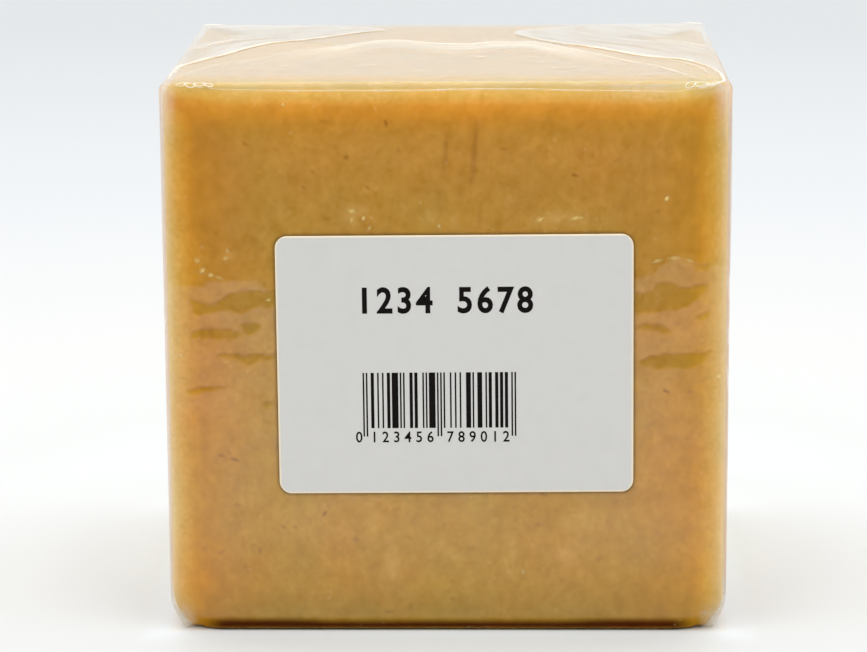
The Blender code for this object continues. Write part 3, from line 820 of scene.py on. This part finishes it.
def curve(corners, step=0.35):
    """A smooth path through the corners with a point about every step mm; mm in, mm out."""
    corners = np.array(corners, float)
    padded = np.concatenate([corners[:1], corners, corners[-1:]])
    pieces = []
    for p, a, b, q in zip(padded, padded[1:], padded[2:], padded[3:]):
        count = max(2, int(np.linalg.norm(b - a) / step))
        t = np.linspace(0, 1, count, endpoint=False)[:, None]
        pieces.append(0.5 * (2 * a + (b - p) * t + (2 * p - 5 * a + 4 * b - q) * t ** 2
                             + (3 * a - p - 3 * b + q) * t ** 3))
    return np.concatenate(pieces + [corners[-1:]])


def fold_sheet(name, outer, inner, layer, material, haze, shine=1.0, patches=(), rim=0.0,
               base=False):
    """A folded flap of film, ruled between the wall's edge (outer) and its free edge (inner).

    It lies on the top, or under the base, as the given layer counted from the film's walls; rim
    is what its haze has on top along the middle of its free edge.
    """
    columns, rows = 140, 56
    outer, inner = resample(outer * MM, columns), resample(inner * MM, columns)
    t = np.linspace(0, 1, rows)[:, None, None]
    flat = (outer + (inner - outer) * t).reshape(-1, 2)
    to_wall = np.minimum(HALF_X - np.abs(flat[:, 0]), HALF_Y - np.abs(flat[:, 1] - MID_Y))
    away = smooth(to_wall, 1.5 * MM, 5.0 * MM)
    steps = np.linalg.norm(np.diff(inner, axis=0), axis=1)
    along = np.broadcast_to(np.concatenate([[0], np.cumsum(steps)]), (rows, columns))
    across = np.linalg.norm(inner - outer, axis=1) * (1 - t[..., 0])
    spots = np.stack([0.16 * along, across, np.full(along.shape, layer * 7 * MM)], axis=-1)
    spots = spots.reshape(-1, 3)
    lift = 0.02 * MM + layer * LAYER * smooth(to_wall, 1.0 * MM, 4.5 * MM)
    lift += 0.020 * MM * away * (1 + soft_noise(spots, 2.6 * MM, 20 + layer))
    height = -1.0 if base else TOP
    points, _ = hug(np.column_stack([flat, np.full(len(flat), height * MM)]), lift)
    streaks = 0.6 * soft_noise(spots, 1.3 * MM, 30 + layer) + 0.5 * soft_noise(spots, 4.0 * MM, 34)
    hazy_rim = rim * smooth(spots[:, 1], 17 * MM, 3 * MM)
    hazy_rim *= smooth(np.abs(flat[:, 0]), 32 * MM, 18 * MM)
    cloud = np.clip(haze * (1 + streaks) + hazy_rim * (1 + 0.5 * streaks), 0, 1)
    gloss = shine * (1 + 0.35 * streaks)
    gloss *= 1 - 0.65 * smooth(flat[:, 1], FRONT_Y + 13 * MM, FRONT_Y + 2 * MM)
    for outline in patches:
        bare = inside(flat, outline, 2.2 * MM)
        cloud *= 1 - 0.7 * bare
        gloss -= (gloss - 1) * bare
    return film_piece(name, points, grid_faces(rows, columns), material, 1.0, cloud, gloss)


CLEAR_PATCHES = [
    [(-44, 35), (-38.5, 27), (-38.6, 20.5), (-41.4, 14.5), (-46, 13), (-46, 30)],
    [(-46, -24), (-43.6, -12.3), (-41.6, -3.4), (-41.6, 4.5), (-46, 5)],
    [(37.9, 16.0), (39.6, 23.0), (42.7, 28), (46, 24), (46, 7), (41.4, 10.4)],
    [(46, 3), (43.4, 0), (43.8, -12), (46, -14)],
]


def build_folds(material):
    """The end of the film's tube folded like a parcel: back flap, sides, front flap on top."""
    back_wall = curve([(-WALL_X, WALL_BACK), (WALL_X, WALL_BACK)])
    fold_sheet("fold_back", back_wall, curve(BACK_TIP), 1, material, 0.01, 0.6)
    for side, hem, rear, name in ((-1, HEM_LEFT, BACK_LEFT, "left"),
                                  (1, HEM_RIGHT, BACK_RIGHT, "right")):
        wall = np.array([hem[0], (side * WALL_X, WALL_BACK), (rear[-1][0], WALL_BACK)])
        free = np.concatenate([curve(hem), curve(rear)])
        fold_sheet("fold_" + name, wall, free, 2, material, 0.10, 1.48, CLEAR_PATCHES)
    front_wall = curve([(-WALL_X, WALL_FRONT), (WALL_X, WALL_FRONT)])
    front_edge = np.concatenate([curve(FRONT_LEFT), curve(FRONT_CUT), curve(FRONT_RIGHT[::-1])])
    fold_sheet("fold_front", front_wall, front_edge, 3, material, 0.012, 0.65, rim=0.30)


# The flaps under the base: their free edges as (x, y) in mm, mirrored left and right.
BASE_FRONT = [(-WALL_X, WALL_FRONT), (-33, -16), (-14, 12), (14, 12), (33, -16),
              (WALL_X, WALL_FRONT)]
BASE_BACK = [(-WALL_X, WALL_BACK), (-30, 16), (-12, -6), (12, -6), (30, 16), (WALL_X, WALL_BACK)]
BASE_SIDE = [(WALL_X, -22), (35, 10), (19, 24), (24, WALL_BACK)]


def build_base_folds(material):
    """The other end of the tube, folded the same way under the base and pressed flat."""
    for name, y, free, layer in (("front", WALL_FRONT, BASE_FRONT, 1), ("back", WALL_BACK, BASE_BACK, 2)):
        wall = curve([(-WALL_X, y), (WALL_X, y)])
        fold_sheet("base_fold_" + name, wall, curve(free), layer, material, 0.03, base=True)
    for side, name in ((-1, "left"), (1, "right")):
        wall = np.array([(side * WALL_X, -22), (side * WALL_X, WALL_BACK), (side * 24, WALL_BACK)])
        free = curve([(side * x, y) for x, y in BASE_SIDE])
        fold_sheet("base_fold_" + name, wall, free, 3, material, 0.12, base=True)


SEAM_LEFT, SEAM_RIGHT = -3.0, 12.0           # the lap on the back wall, in mm


def build_seam(material):
    """The lapped seam up the back wall, milky along its welded edges."""
    xs = np.linspace(SEAM_LEFT, SEAM_RIGHT, 40) * MM
    zs = np.linspace(1.5 * MM, SKIN_TOP - 1.5 * MM, 130)
    z, x = (part.ravel() for part in np.meshgrid(zs, xs, indexing="ij"))
    to_edge = np.minimum(x - xs[0], xs[-1] - x)
    places = np.column_stack([x, np.full(len(x), BACK_Y + 1 * MM), z])
    wave = soft_noise(places * (1.0, 1.0, 0.3), 2.0 * MM, 70)
    points, _ = hug(places, 0.03 * MM + 0.08 * MM * smooth(to_edge, 0, 0.5 * MM) + 0.03 * MM * wave)
    haze = 0.03 + 0.35 * smooth(to_edge, 1.0 * MM, 0.2 * MM) * (1 + 0.4 * wave)
    return film_piece("film_seam", points, grid_faces(len(zs), len(xs)), material, 0.9, haze)


# ---------------------------------------------------------------- creases

def strip(path, normals, radius, arch):
    """An arched strip of film along a path on the surface, as steep at its sides as arch degrees.

    The radius, half the strip's width, may vary along it.
    """
    tangent = np.gradient(path, axis=0)
    side = np.cross(tangent, normals)
    side /= np.linalg.norm(side, axis=1, keepdims=True)
    angles = np.radians(np.linspace(-arch, arch, 7))
    bend_radius = radius / math.sin(angles[-1])
    rows = []
    for angle in angles:
        out = math.cos(angle) - math.cos(angles[0])
        rows.append(path + side * (bend_radius * math.sin(angle))[:, None]
                    + normals * (bend_radius * out)[:, None])
    return np.concatenate(rows), grid_faces(len(angles), len(path))


def crease(corners, radius, haze, lift=0.0, wander=0.12, closed=False, seed=0, arch=62):
    """A crease through (x, y, z) corners near the film: its points, quads and haze.

    Lengths are in mm. It thins out towards both ends, unless it is closed.
    """
    path = curve(corners, 0.3) * MM
    count = len(path)
    offset = np.array([0, 0, seed * 3 * MM])
    for size, share in ((2.6 * MM, 0.75), (0.8 * MM, 0.35)):
        path = path + share * wander * MM * np.stack(
            [soft_noise(path + offset, size, 40 + axis) for axis in range(3)], axis=1)
    points, normals = hug(path, lift * MM)
    ends = 1.0 if closed else np.sin(np.pi * np.linspace(0.03, 0.97, count)) ** 0.5
    beads = 1 + 0.35 * soft_noise(path + offset, 1.7 * MM, 44)
    strip_points, quads = strip(points, normals, radius * MM * ends * beads, arch)
    clouds = np.clip(haze * (0.8 + 0.4 * soft_noise(path + offset, 3 * MM, 45)), 0, 1)
    return strip_points, quads, np.tile(clouds * ends, 7)


def on_top(corners):
    return [(x, y, TOP) for x, y in corners]


def on_front(corners):
    return [(x, FRONT_Y / MM - 1, z) for x, z in corners]


def over_front_edge(x, along):
    """A place on the front's rounded top edge; along runs 0..1 from the wall to the top."""
    angle = along * math.pi / 2
    return (x, FRONT_Y / MM + 3 - 5 * math.cos(angle), SKIN_TOP / MM - 3 + 5 * math.sin(angle))


def ring(mid_x, along, half_width, half_height, lean):
    """A small closed loop on the front's rounded top edge."""
    turns = np.linspace(0, 2 * math.pi, 9)
    return [over_front_edge(mid_x + half_width * math.cos(turn) + lean * math.sin(turn),
                            along + half_height * math.sin(turn)) for turn in turns]


def build_creases(material):
    across = np.linspace(-1, 1, 15)
    lower_dips = (0.52, 0.48, 0.45, 0.42, 0.43, 0.42, 0.42, 0.45, 0.48, 0.47, 0.43, 0.41, 0.38,
                  0.35, 0.36)
    upper_dips = (0.96, 0.94, 0.95, 0.94, 0.96, 0.95, 0.93, 0.95, 0.97, 0.96, 0.94, 0.93, 0.91,
                  0.83, 0.79)
    parts = [
        crease([over_front_edge(42.5 * u, a) for u, a in zip(across, lower_dips)], 0.12, 0.38),
        crease([over_front_edge(42.5 * u, a) for u, a in zip(across, upper_dips)], 0.08, 0.32,
               seed=1),
        crease(on_top(HEM_LEFT), 0.55, 0.62, 0.08, wander=0.3, seed=2, arch=30),
        crease(on_top(HEM_RIGHT[1:]), 0.55, 0.62, 0.08, wander=0.3, seed=3, arch=30),
        crease(on_top([(-45.6, 36.6), (-44.8, 37.4), (-43.4, 38.0), (-41.6, 37.7)]), 0.45, 0.95,
               0.10, seed=14),
        crease(on_top([(45.6, 36.6), (44.8, 37.4), (43.4, 38.0), (41.6, 37.7)]), 0.40, 0.95,
               0.10, seed=15),
        crease(on_top(HEM_RIGHT[:3]) [::-1] + [over_front_edge(44.3, 0.75),
               over_front_edge(43.2, 0.55), over_front_edge(41.4, 0.46),
               over_front_edge(39.2, 0.44)], 0.20, 0.75, 0.05, seed=4),
        crease(on_top(BACK_LEFT), 0.12, 0.35, 0.14, seed=5),
        crease(on_top(BACK_RIGHT), 0.12, 0.35, 0.14, seed=6),
        crease(on_top(FRONT_LEFT), 0.14, 0.30, 0.22, seed=7),
        crease(on_top(FRONT_RIGHT), 0.20, 0.6, 0.20, seed=8, arch=40),
        crease(on_top(FRONT_CUT), 0.34, 1.0, 0.20, wander=0.25, seed=9, arch=35),
        crease(on_top([(-45.3, 5.9), (-42.7, 8.5), (-40.1, 13.9), (-36.9, 18.0)]), 0.16, 0.6,
               0.14, seed=10),
        crease(on_top([(35.8, 14.7), (39.8, 11.9), (43.6, 6.3), (44.7, 2.3)]), 0.14, 0.5, 0.14,
               seed=11),
        crease([(47, FRONT_Y / MM + 0.5, z) for z in (86, 80, 73, 66)], 0.20, 0.20, wander=0.15,
               seed=13),
        crease(on_top([(32.6, -7.4), (36.6, -10.8), (39.6, -14.8), (41.7, -20.8), (42.6, -27.5)]),
               0.14, 0.55, 0.16, seed=16),
    ]
    streaks = [
        [(-29.0, -17.8), (-24.8, -18.6)], [(-29.4, -22.6), (-24.2, -23.6)],
        [(-20.6, -8.4), (-14.0, -6.2)], [(-16.0, -18.6), (-9.6, -15.4)],
        [(13.2, -7.4), (17.2, -8.6)], [(13.8, -13.8), (17.6, -13.4)],
        [(15.4, -21.4), (22.2, -20.2)], [(20.0, -25.0), (27.4, -22.8)],
        [(-35.0, -20.0), (-30.0, -21.4)], [(26.0, -14.0), (30.0, -16.6)],
        [(-8.0, -24.0), (-2.0, -23.4)], [(30.0, -29.6), (37.0, -29.0)],
    ]
    for number, ends in enumerate(streaks):
        parts.append(crease(on_top(ends), 0.20, 0.30, 0.20, seed=20 + number, arch=25))
    parts.append(crease(on_top([(4.2, -6.4), (5.4, -7.0), (6.6, -7.0)]), 0.24, 0.85, 0.24))
    loops = [(-42.2, 0.68, 0.8, 0.22, 0.4), (-41.0, 0.62, 0.8, 0.18, -0.3),
             (-39.4, 0.70, 0.9, 0.14, 0.3), (-38.0, 0.66, 0.6, 0.10, -0.2),
             (39.2, 0.60, 0.7, 0.20, 0.4), (41.0, 0.56, 1.0, 0.22, -0.4),
             (42.9, 0.60, 0.8, 0.20, 0.3)]
    for number, loop in enumerate(loops):
        parts.append(crease(ring(*loop), 0.14, 0.46, wander=0.3, closed=True, seed=40 + number))
    foot_folds = [
        [(-45.8, 7.6), (-45.5, 5.4), (-45.0, 3.6), (-44.4, 2.6)],
        [(-45.0, 2.0), (-44.2, 1.2), (-43.4, 0.8)],
        [(45.8, 6.6), (45.7, 4.6), (45.2, 3.4), (44.2, 3.0), (43.6, 2.9)],
        [(42.2, 3.2), (42.5, 2.6)], [(42.8, 3.4), (43.1, 2.4)], [(45.2, 2.6), (45.4, 1.9)],
    ]
    for number, corners in enumerate(foot_folds):
        parts.append(crease(on_front(corners), 0.12, 0.35, wander=0.25, seed=90 + number))
    first, points, quads, haze = 0, [], [], []
    for part_points, part_quads, part_haze in parts:
        points.append(part_points)
        quads.append(part_quads + first)
        haze.append(part_haze)
        first += len(part_points)
    return film_piece("film_creases", np.concatenate(points), np.concatenate(quads), material,
                      1.0, np.concatenate(haze))


# ---------------------------------------------------------------- label

LABEL_TILT = math.radians(0.3)
LABEL_SIZE = (58 * MM, 43 * MM)
LABEL_RADIUS = 2.0 * MM
LABEL_THICKNESS = 0.16 * MM
LABEL_MID = ((LABEL_LOW.x + LABEL_HIGH.x) / 2, (LABEL_LOW.z + LABEL_HIGH.z) / 2)
INK_LIFT = LABEL_THICKNESS + 0.012 * MM
DUMMY_NUMBER = "0123456789012"               # its last digit is the right check digit


def on_label(flat, proud):
    """Places of flat label points (right, up) on the front wall, proud metres out of the film."""
    c, s = math.cos(LABEL_TILT), math.sin(LABEL_TILT)
    x = LABEL_MID[0] + flat[:, 0] * c - flat[:, 1] * s
    z = LABEL_MID[1] + flat[:, 0] * s + flat[:, 1] * c
    return np.stack([x, front_surface(x, z) - proud, z], axis=1)


def build_label(material):
    half_w, half_h = LABEL_SIZE[0] / 2, LABEL_SIZE[1] / 2
    border = np.array([0, 0.02, 0.06, 0.12, 0.2, 0.3, 0.42]) * MM
    us = np.concatenate([-half_w + border, np.linspace(-half_w + 1 * MM, half_w - 1 * MM, 58),
                         half_w - border[::-1]])
    vs = np.concatenate([-half_h + border, np.linspace(-half_h + 0.5 * MM, half_h - 0.5 * MM, 85),
                         half_h - border[::-1]])
    v, u = np.meshgrid(vs, us, indexing="ij")
    inset = LABEL_RADIUS - np.sqrt(np.clip(
        LABEL_RADIUS ** 2 - np.clip(np.abs(v) - (half_h - LABEL_RADIUS), 0, None) ** 2, 0, None))
    squeezed = u * (1 - inset / half_w)
    gap = np.minimum(half_w - np.abs(u), half_h - np.abs(v)).ravel()
    lift = LABEL_THICKNESS * smooth(gap, -0.04 * MM, 0.12 * MM)
    flat = np.stack([squeezed.ravel(), v.ravel()], axis=1)
    # rim: the border band that takes the cream tone and painted highlight
    rim = smooth(gap, 0.36 * MM, 0.20 * MM)
    return mesh_piece("label_sheet", on_label(flat, lift), grid_faces(len(vs), len(us)), material,
                      "label", {"rim": rim})


def build_label_shadow(material):
    """A narrow frame of painted shadow on the film round the label, darkest against the paper."""
    half_w, half_h = LABEL_SIZE[0] / 2, LABEL_SIZE[1] / 2
    turns = np.linspace(0, 2 * math.pi, 240, endpoint=False)
    side_x, side_z = np.cos(turns), np.sin(turns)
    core_x = np.clip(side_x * 4, -1, 1) * (half_w - LABEL_RADIUS)
    core_z = np.clip(side_z * 4, -1, 1) * (half_h - LABEL_RADIUS)
    rows, shades = [], []
    for reach, shade in ((-0.10, 0.46), (0.02, 0.46), (0.14, 0.30), (0.30, 0.14), (0.60, 0.0)):
        r = LABEL_RADIUS + reach * MM
        rows.append(np.stack([core_x + side_x * r, core_z + side_z * r], axis=1))
        shades.append(np.full(len(turns) + 1, shade))
    rows = [np.concatenate([row, row[:1]]) for row in rows]
    return mesh_piece("label_painted_shadow_line", on_label(np.concatenate(rows), 0.03 * MM),
                      grid_faces(len(rows), len(turns) + 1)[:, ::-1], material, "label",
                      {"glue": np.concatenate(shades)})


def bar_pattern(digits):
    """The dark and light modules of a 13-digit bar code, as a string of 1s and 0s."""
    odd = ["0001101", "0011001", "0010011", "0111101", "0100011",
           "0110001", "0101111", "0111011", "0110111", "0001011"]
    right = ["".join("10"[int(bit)] for bit in code) for code in odd]
    even = [code[::-1] for code in right]
    parity = ["LLLLLL", "LLGLGG", "LLGGLG", "LLGGGL", "LGLLGG",
              "LGGLLG", "LGGGLL", "LGLGLG", "LGLGGL", "LGGLGL"][int(digits[0])]
    left_half = "".join((odd if kind == "L" else even)[int(digit)]
                        for kind, digit in zip(parity, digits[1:7]))
    right_half = "".join(right[int(digit)] for digit in digits[7:])
    return "101" + left_half + "01010" + right_half + "101"


BARS_LEFT, BARS_RIGHT = -15.1 * MM, 9.9 * MM     # on the label, from its middle
BARS_TOP, BARS_BASE, GUARD_BASE = -1.2 * MM, -10.5 * MM, -11.9 * MM


def build_bars(material):
    """The bar code: one thin printed strip for each run of dark modules."""
    pattern = bar_pattern(DUMMY_NUMBER)
    module = (BARS_RIGHT - BARS_LEFT) / len(pattern)
    guards = set(range(3)) | set(range(45, 50)) | set(range(92, 95))
    corners, quads = [], []
    start = 0
    while start < len(pattern):
        end = start
        while end < len(pattern) and pattern[end] == pattern[start]:
            end += 1
        if pattern[start] == "1":
            base = GUARD_BASE if start in guards else BARS_BASE
            left, right = BARS_LEFT + start * module, BARS_LEFT + end * module
            for z in np.linspace(base, BARS_TOP, 4):
                corners += [(left, z), (right, z)]
            first = len(corners) - 8
            quads += [(first + 2 * n, first + 2 * n + 1, first + 2 * n + 3, first + 2 * n + 2)
                      for n in range(3)]
        start = end
    return mesh_piece("label_bars", on_label(np.array(corners), INK_LIFT), quads, material,
                      "label")


def digit_shapes(text, height, pitch, middle, base, boldness):
    """Meshes of digits set at an even pitch; middle is the first digit's middle."""
    parts = []
    for index, digit in enumerate(text):
        if digit == " ":
            continue
        letter = bpy.data.curves.new("digit", "FONT")
        letter.body = digit
        letter.align_x = "CENTER"
        letter.resolution_u = 4
        letter.offset = boldness
        writer = bpy.data.objects.new("digit", letter)
        shape = bpy.data.meshes.new_from_object(writer)
        flat = np.array([v.co[:2] for v in shape.vertices])
        scale = height / 0.73                        # the font's digits are 0.73 units high
        flat = flat * (scale * 0.9, scale) + (middle + index * pitch, base)
        parts.append((on_label(flat, INK_LIFT), [tuple(f.vertices) for f in shape.polygons]))
        bpy.data.objects.remove(writer)
        bpy.data.curves.remove(letter)
        bpy.data.meshes.remove(shape)
    return parts


def build_digits(name, parts, material):
    points, faces, first = [], [], 0
    for part_points, part_faces in parts:
        points.append(part_points)
        faces += [tuple(i + first for i in face) for face in part_faces]
        first += len(part_points)
    return mesh_piece(name, np.concatenate(points), faces, material, "label")


# ---------------------------------------------------------------- stage

FLOOR_SPAN = 6.0


def build_floor():
    """A pale floor, brightest round the block, where painted light lifts the block's shade, and a little
    cooler and darker far behind it.
    """
    material, tree, output = new_material("pale_floor")
    place = add(tree, "ShaderNodeTexCoord").outputs["Object"]
    away = add(tree, "ShaderNodeVectorMath", {0: place, 1: (0, 0.017, 0)}, operation="DISTANCE")
    # Painted light: brighter and a shade cooler close round the block, against its shade and its warm
    # bounce there.
    colour = ramp(tree, away.outputs["Value"], [
        (0.048, (0.76, 0.810, 0.815)),
        (0.065, (0.682, 0.715, 0.728)),
        (0.110, (0.630, 0.650, 0.652)),
        (0.180, (0.632, 0.640, 0.636)),
        (0.350, (0.585, 0.603, 0.620)),
        (0.750, (0.503, 0.525, 0.540)),
    ])
    axes = add(tree, "ShaderNodeSeparateXYZ", {"Vector": place})
    beside = maths(tree, "SUBTRACT", maths(tree, "ABSOLUTE", axes.outputs["X"]), HALF_X)
    behind = maths(tree, "SUBTRACT", axes.outputs["Y"], MID_Y)
    along = maths(tree, "SUBTRACT", maths(tree, "ABSOLUTE", behind), HALF_Y)
    outside = maths(tree, "MAXIMUM", beside, along)
    # A warm painted tint of contact shade in a thin band round the block's footprint.
    colour = mixed(tree, span(tree, outside, 0.1 * MM, 0.8 * MM, 1.0, 0.0), colour,
                   (1.02, 0.98, 0.93), "MULTIPLY")
    # Painted light: a little brighter within a few mm of the footprint, against the block's shade there.
    colour = mixed(tree, span(tree, outside, 0.5 * MM, 6.0 * MM, 1.0, 0.0), colour,
                   (1.08, 1.09, 1.11), "MULTIPLY")
    shader = add(tree, "ShaderNodeBsdfPrincipled", {"Base Color": colour, "Roughness": 0.55,
                 "Specular IOR Level": 0.2})
    tree.links.new(shader.outputs["BSDF"], output.inputs["Surface"])
    mesh = bpy.data.meshes.new("floor")
    s = FLOOR_SPAN / 2
    mesh.from_pydata([(-s, -s, 0), (s, -s, 0), (s, s, 0), (-s, s, 0)], [], [(0, 1, 2, 3)])
    mesh.materials.append(material)
    floor = bpy.data.objects.new("floor", mesh)
    bpy.context.collection.objects.link(floor)


def build_world():
    """A light tent: bright above, softer round the horizon and dimmest on the camera's side."""
    world = bpy.data.worlds.new("tent")
    bpy.context.scene.world = world
    world.use_nodes = True
    tree = world.node_tree
    tree.nodes.clear()
    place = add(tree, "ShaderNodeTexCoord").outputs["Generated"]
    axes = add(tree, "ShaderNodeSeparateXYZ", {"Vector": place})
    back = span(tree, axes.outputs["Y"], -0.6, 0.4)
    up = span(tree, axes.outputs["Z"], 0.25, 0.9)
    low = mixed(tree, back, (0.33, 0.33, 0.33), (0.81, 0.797, 0.77))
    colour = mixed(tree, up, low, (2.0, 2.0, 2.0))
    background = add(tree, "ShaderNodeBackground", {"Color": colour, "Strength": 1.0})
    output = add(tree, "ShaderNodeOutputWorld")
    tree.links.new(background.outputs[0], output.inputs["Surface"])


def soft_light(name, place, target, size, power, mirrored=True):
    """A rectangular lamp that the camera never sees, and the film only if it is mirrored."""
    lamp = bpy.data.lights.new(name, "AREA")
    lamp.shape = "RECTANGLE"
    lamp.size, lamp.size_y = size
    lamp.energy = power
    light = bpy.data.objects.new(name, lamp)
    bpy.context.collection.objects.link(light)
    light.location = place
    light.rotation_euler = (Vector(target) - Vector(place)).to_track_quat("-Z", "Y").to_euler()
    light.visible_camera = False
    light.visible_glossy = mirrored


def build_camera():
    """A long lens a little to the right of the block's middle, looking down on it."""
    yaw, pitch, roll = math.radians(-1.28), math.radians(12.29), math.radians(-0.35)
    forward = Vector((math.sin(yaw) * math.cos(pitch), math.cos(yaw) * math.cos(pitch),
                      -math.sin(pitch)))
    level = Vector((math.cos(yaw), -math.sin(yaw), 0))
    upright = level.cross(forward)
    right = level * math.cos(roll) + upright * math.sin(roll)
    up = upright * math.cos(roll) - level * math.sin(roll)
    lens = bpy.data.cameras.new("camera")
    lens.sensor_width = 36.0
    lens.lens = 136.9
    camera = bpy.data.objects.new("camera", lens)
    bpy.context.collection.objects.link(camera)
    turn = Matrix((right, up, -forward)).transposed().to_4x4()
    camera.matrix_world = Matrix.Translation((9.6 * MM, -561.85 * MM, 165.7 * MM)) @ turn
    bpy.context.scene.camera = camera


build_tofu(tofu_material())
build_marks("tofu_pits", PITS, 0.45, AIR - 0.02 * MM, pit_material())
# The film's crinkle glints, painted as highlights on the tofu.
build_marks("painted_crinkle_glints", CRINKLE_GLINTS, 0.05, AIR - 0.04 * MM, crinkle_glint_material())
film = film_material()
build_film_walls(film)
build_folds(film)
build_base_folds(film)
build_seam(film)
build_creases(film)
build_label(paper_material())
build_label_shadow(label_shadow_material())
ink = ink_material()
build_bars(ink)
number = (digit_shapes(DUMMY_NUMBER[0], 1.85 * MM, 0, -15.8 * MM, -12.85 * MM, 0.014)
          + digit_shapes(DUMMY_NUMBER[1:7], 1.85 * MM, 1.83 * MM, -13.3 * MM, -12.85 * MM, 0.014)
          + digit_shapes(DUMMY_NUMBER[7:], 1.85 * MM, 1.83 * MM, -0.9 * MM, -12.85 * MM, 0.014))
build_digits("label_number", number, ink)
heading = (digit_shapes("1234", 4.3 * MM, 3.25 * MM, -14.6 * MM, 8.8 * MM, 0.026)
           + digit_shapes("5678", 4.3 * MM, 3.25 * MM, 1.7 * MM, 8.8 * MM, 0.026))
build_digits("label_heading", heading, ink)
build_floor()
build_world()
soft_light("overhead", (0.0, -0.13, 0.75), (0, 0, 0.09), (0.45, 0.03), 0.40)
for side in (-1, 1):
    soft_light("rim", (side * 0.8, 0.06, 0.24), (0, 0, 0.05), (0.14, 0.44), 0.32, mirrored=False)
build_camera()
bpy.context.scene.view_settings.view_transform = "Standard"
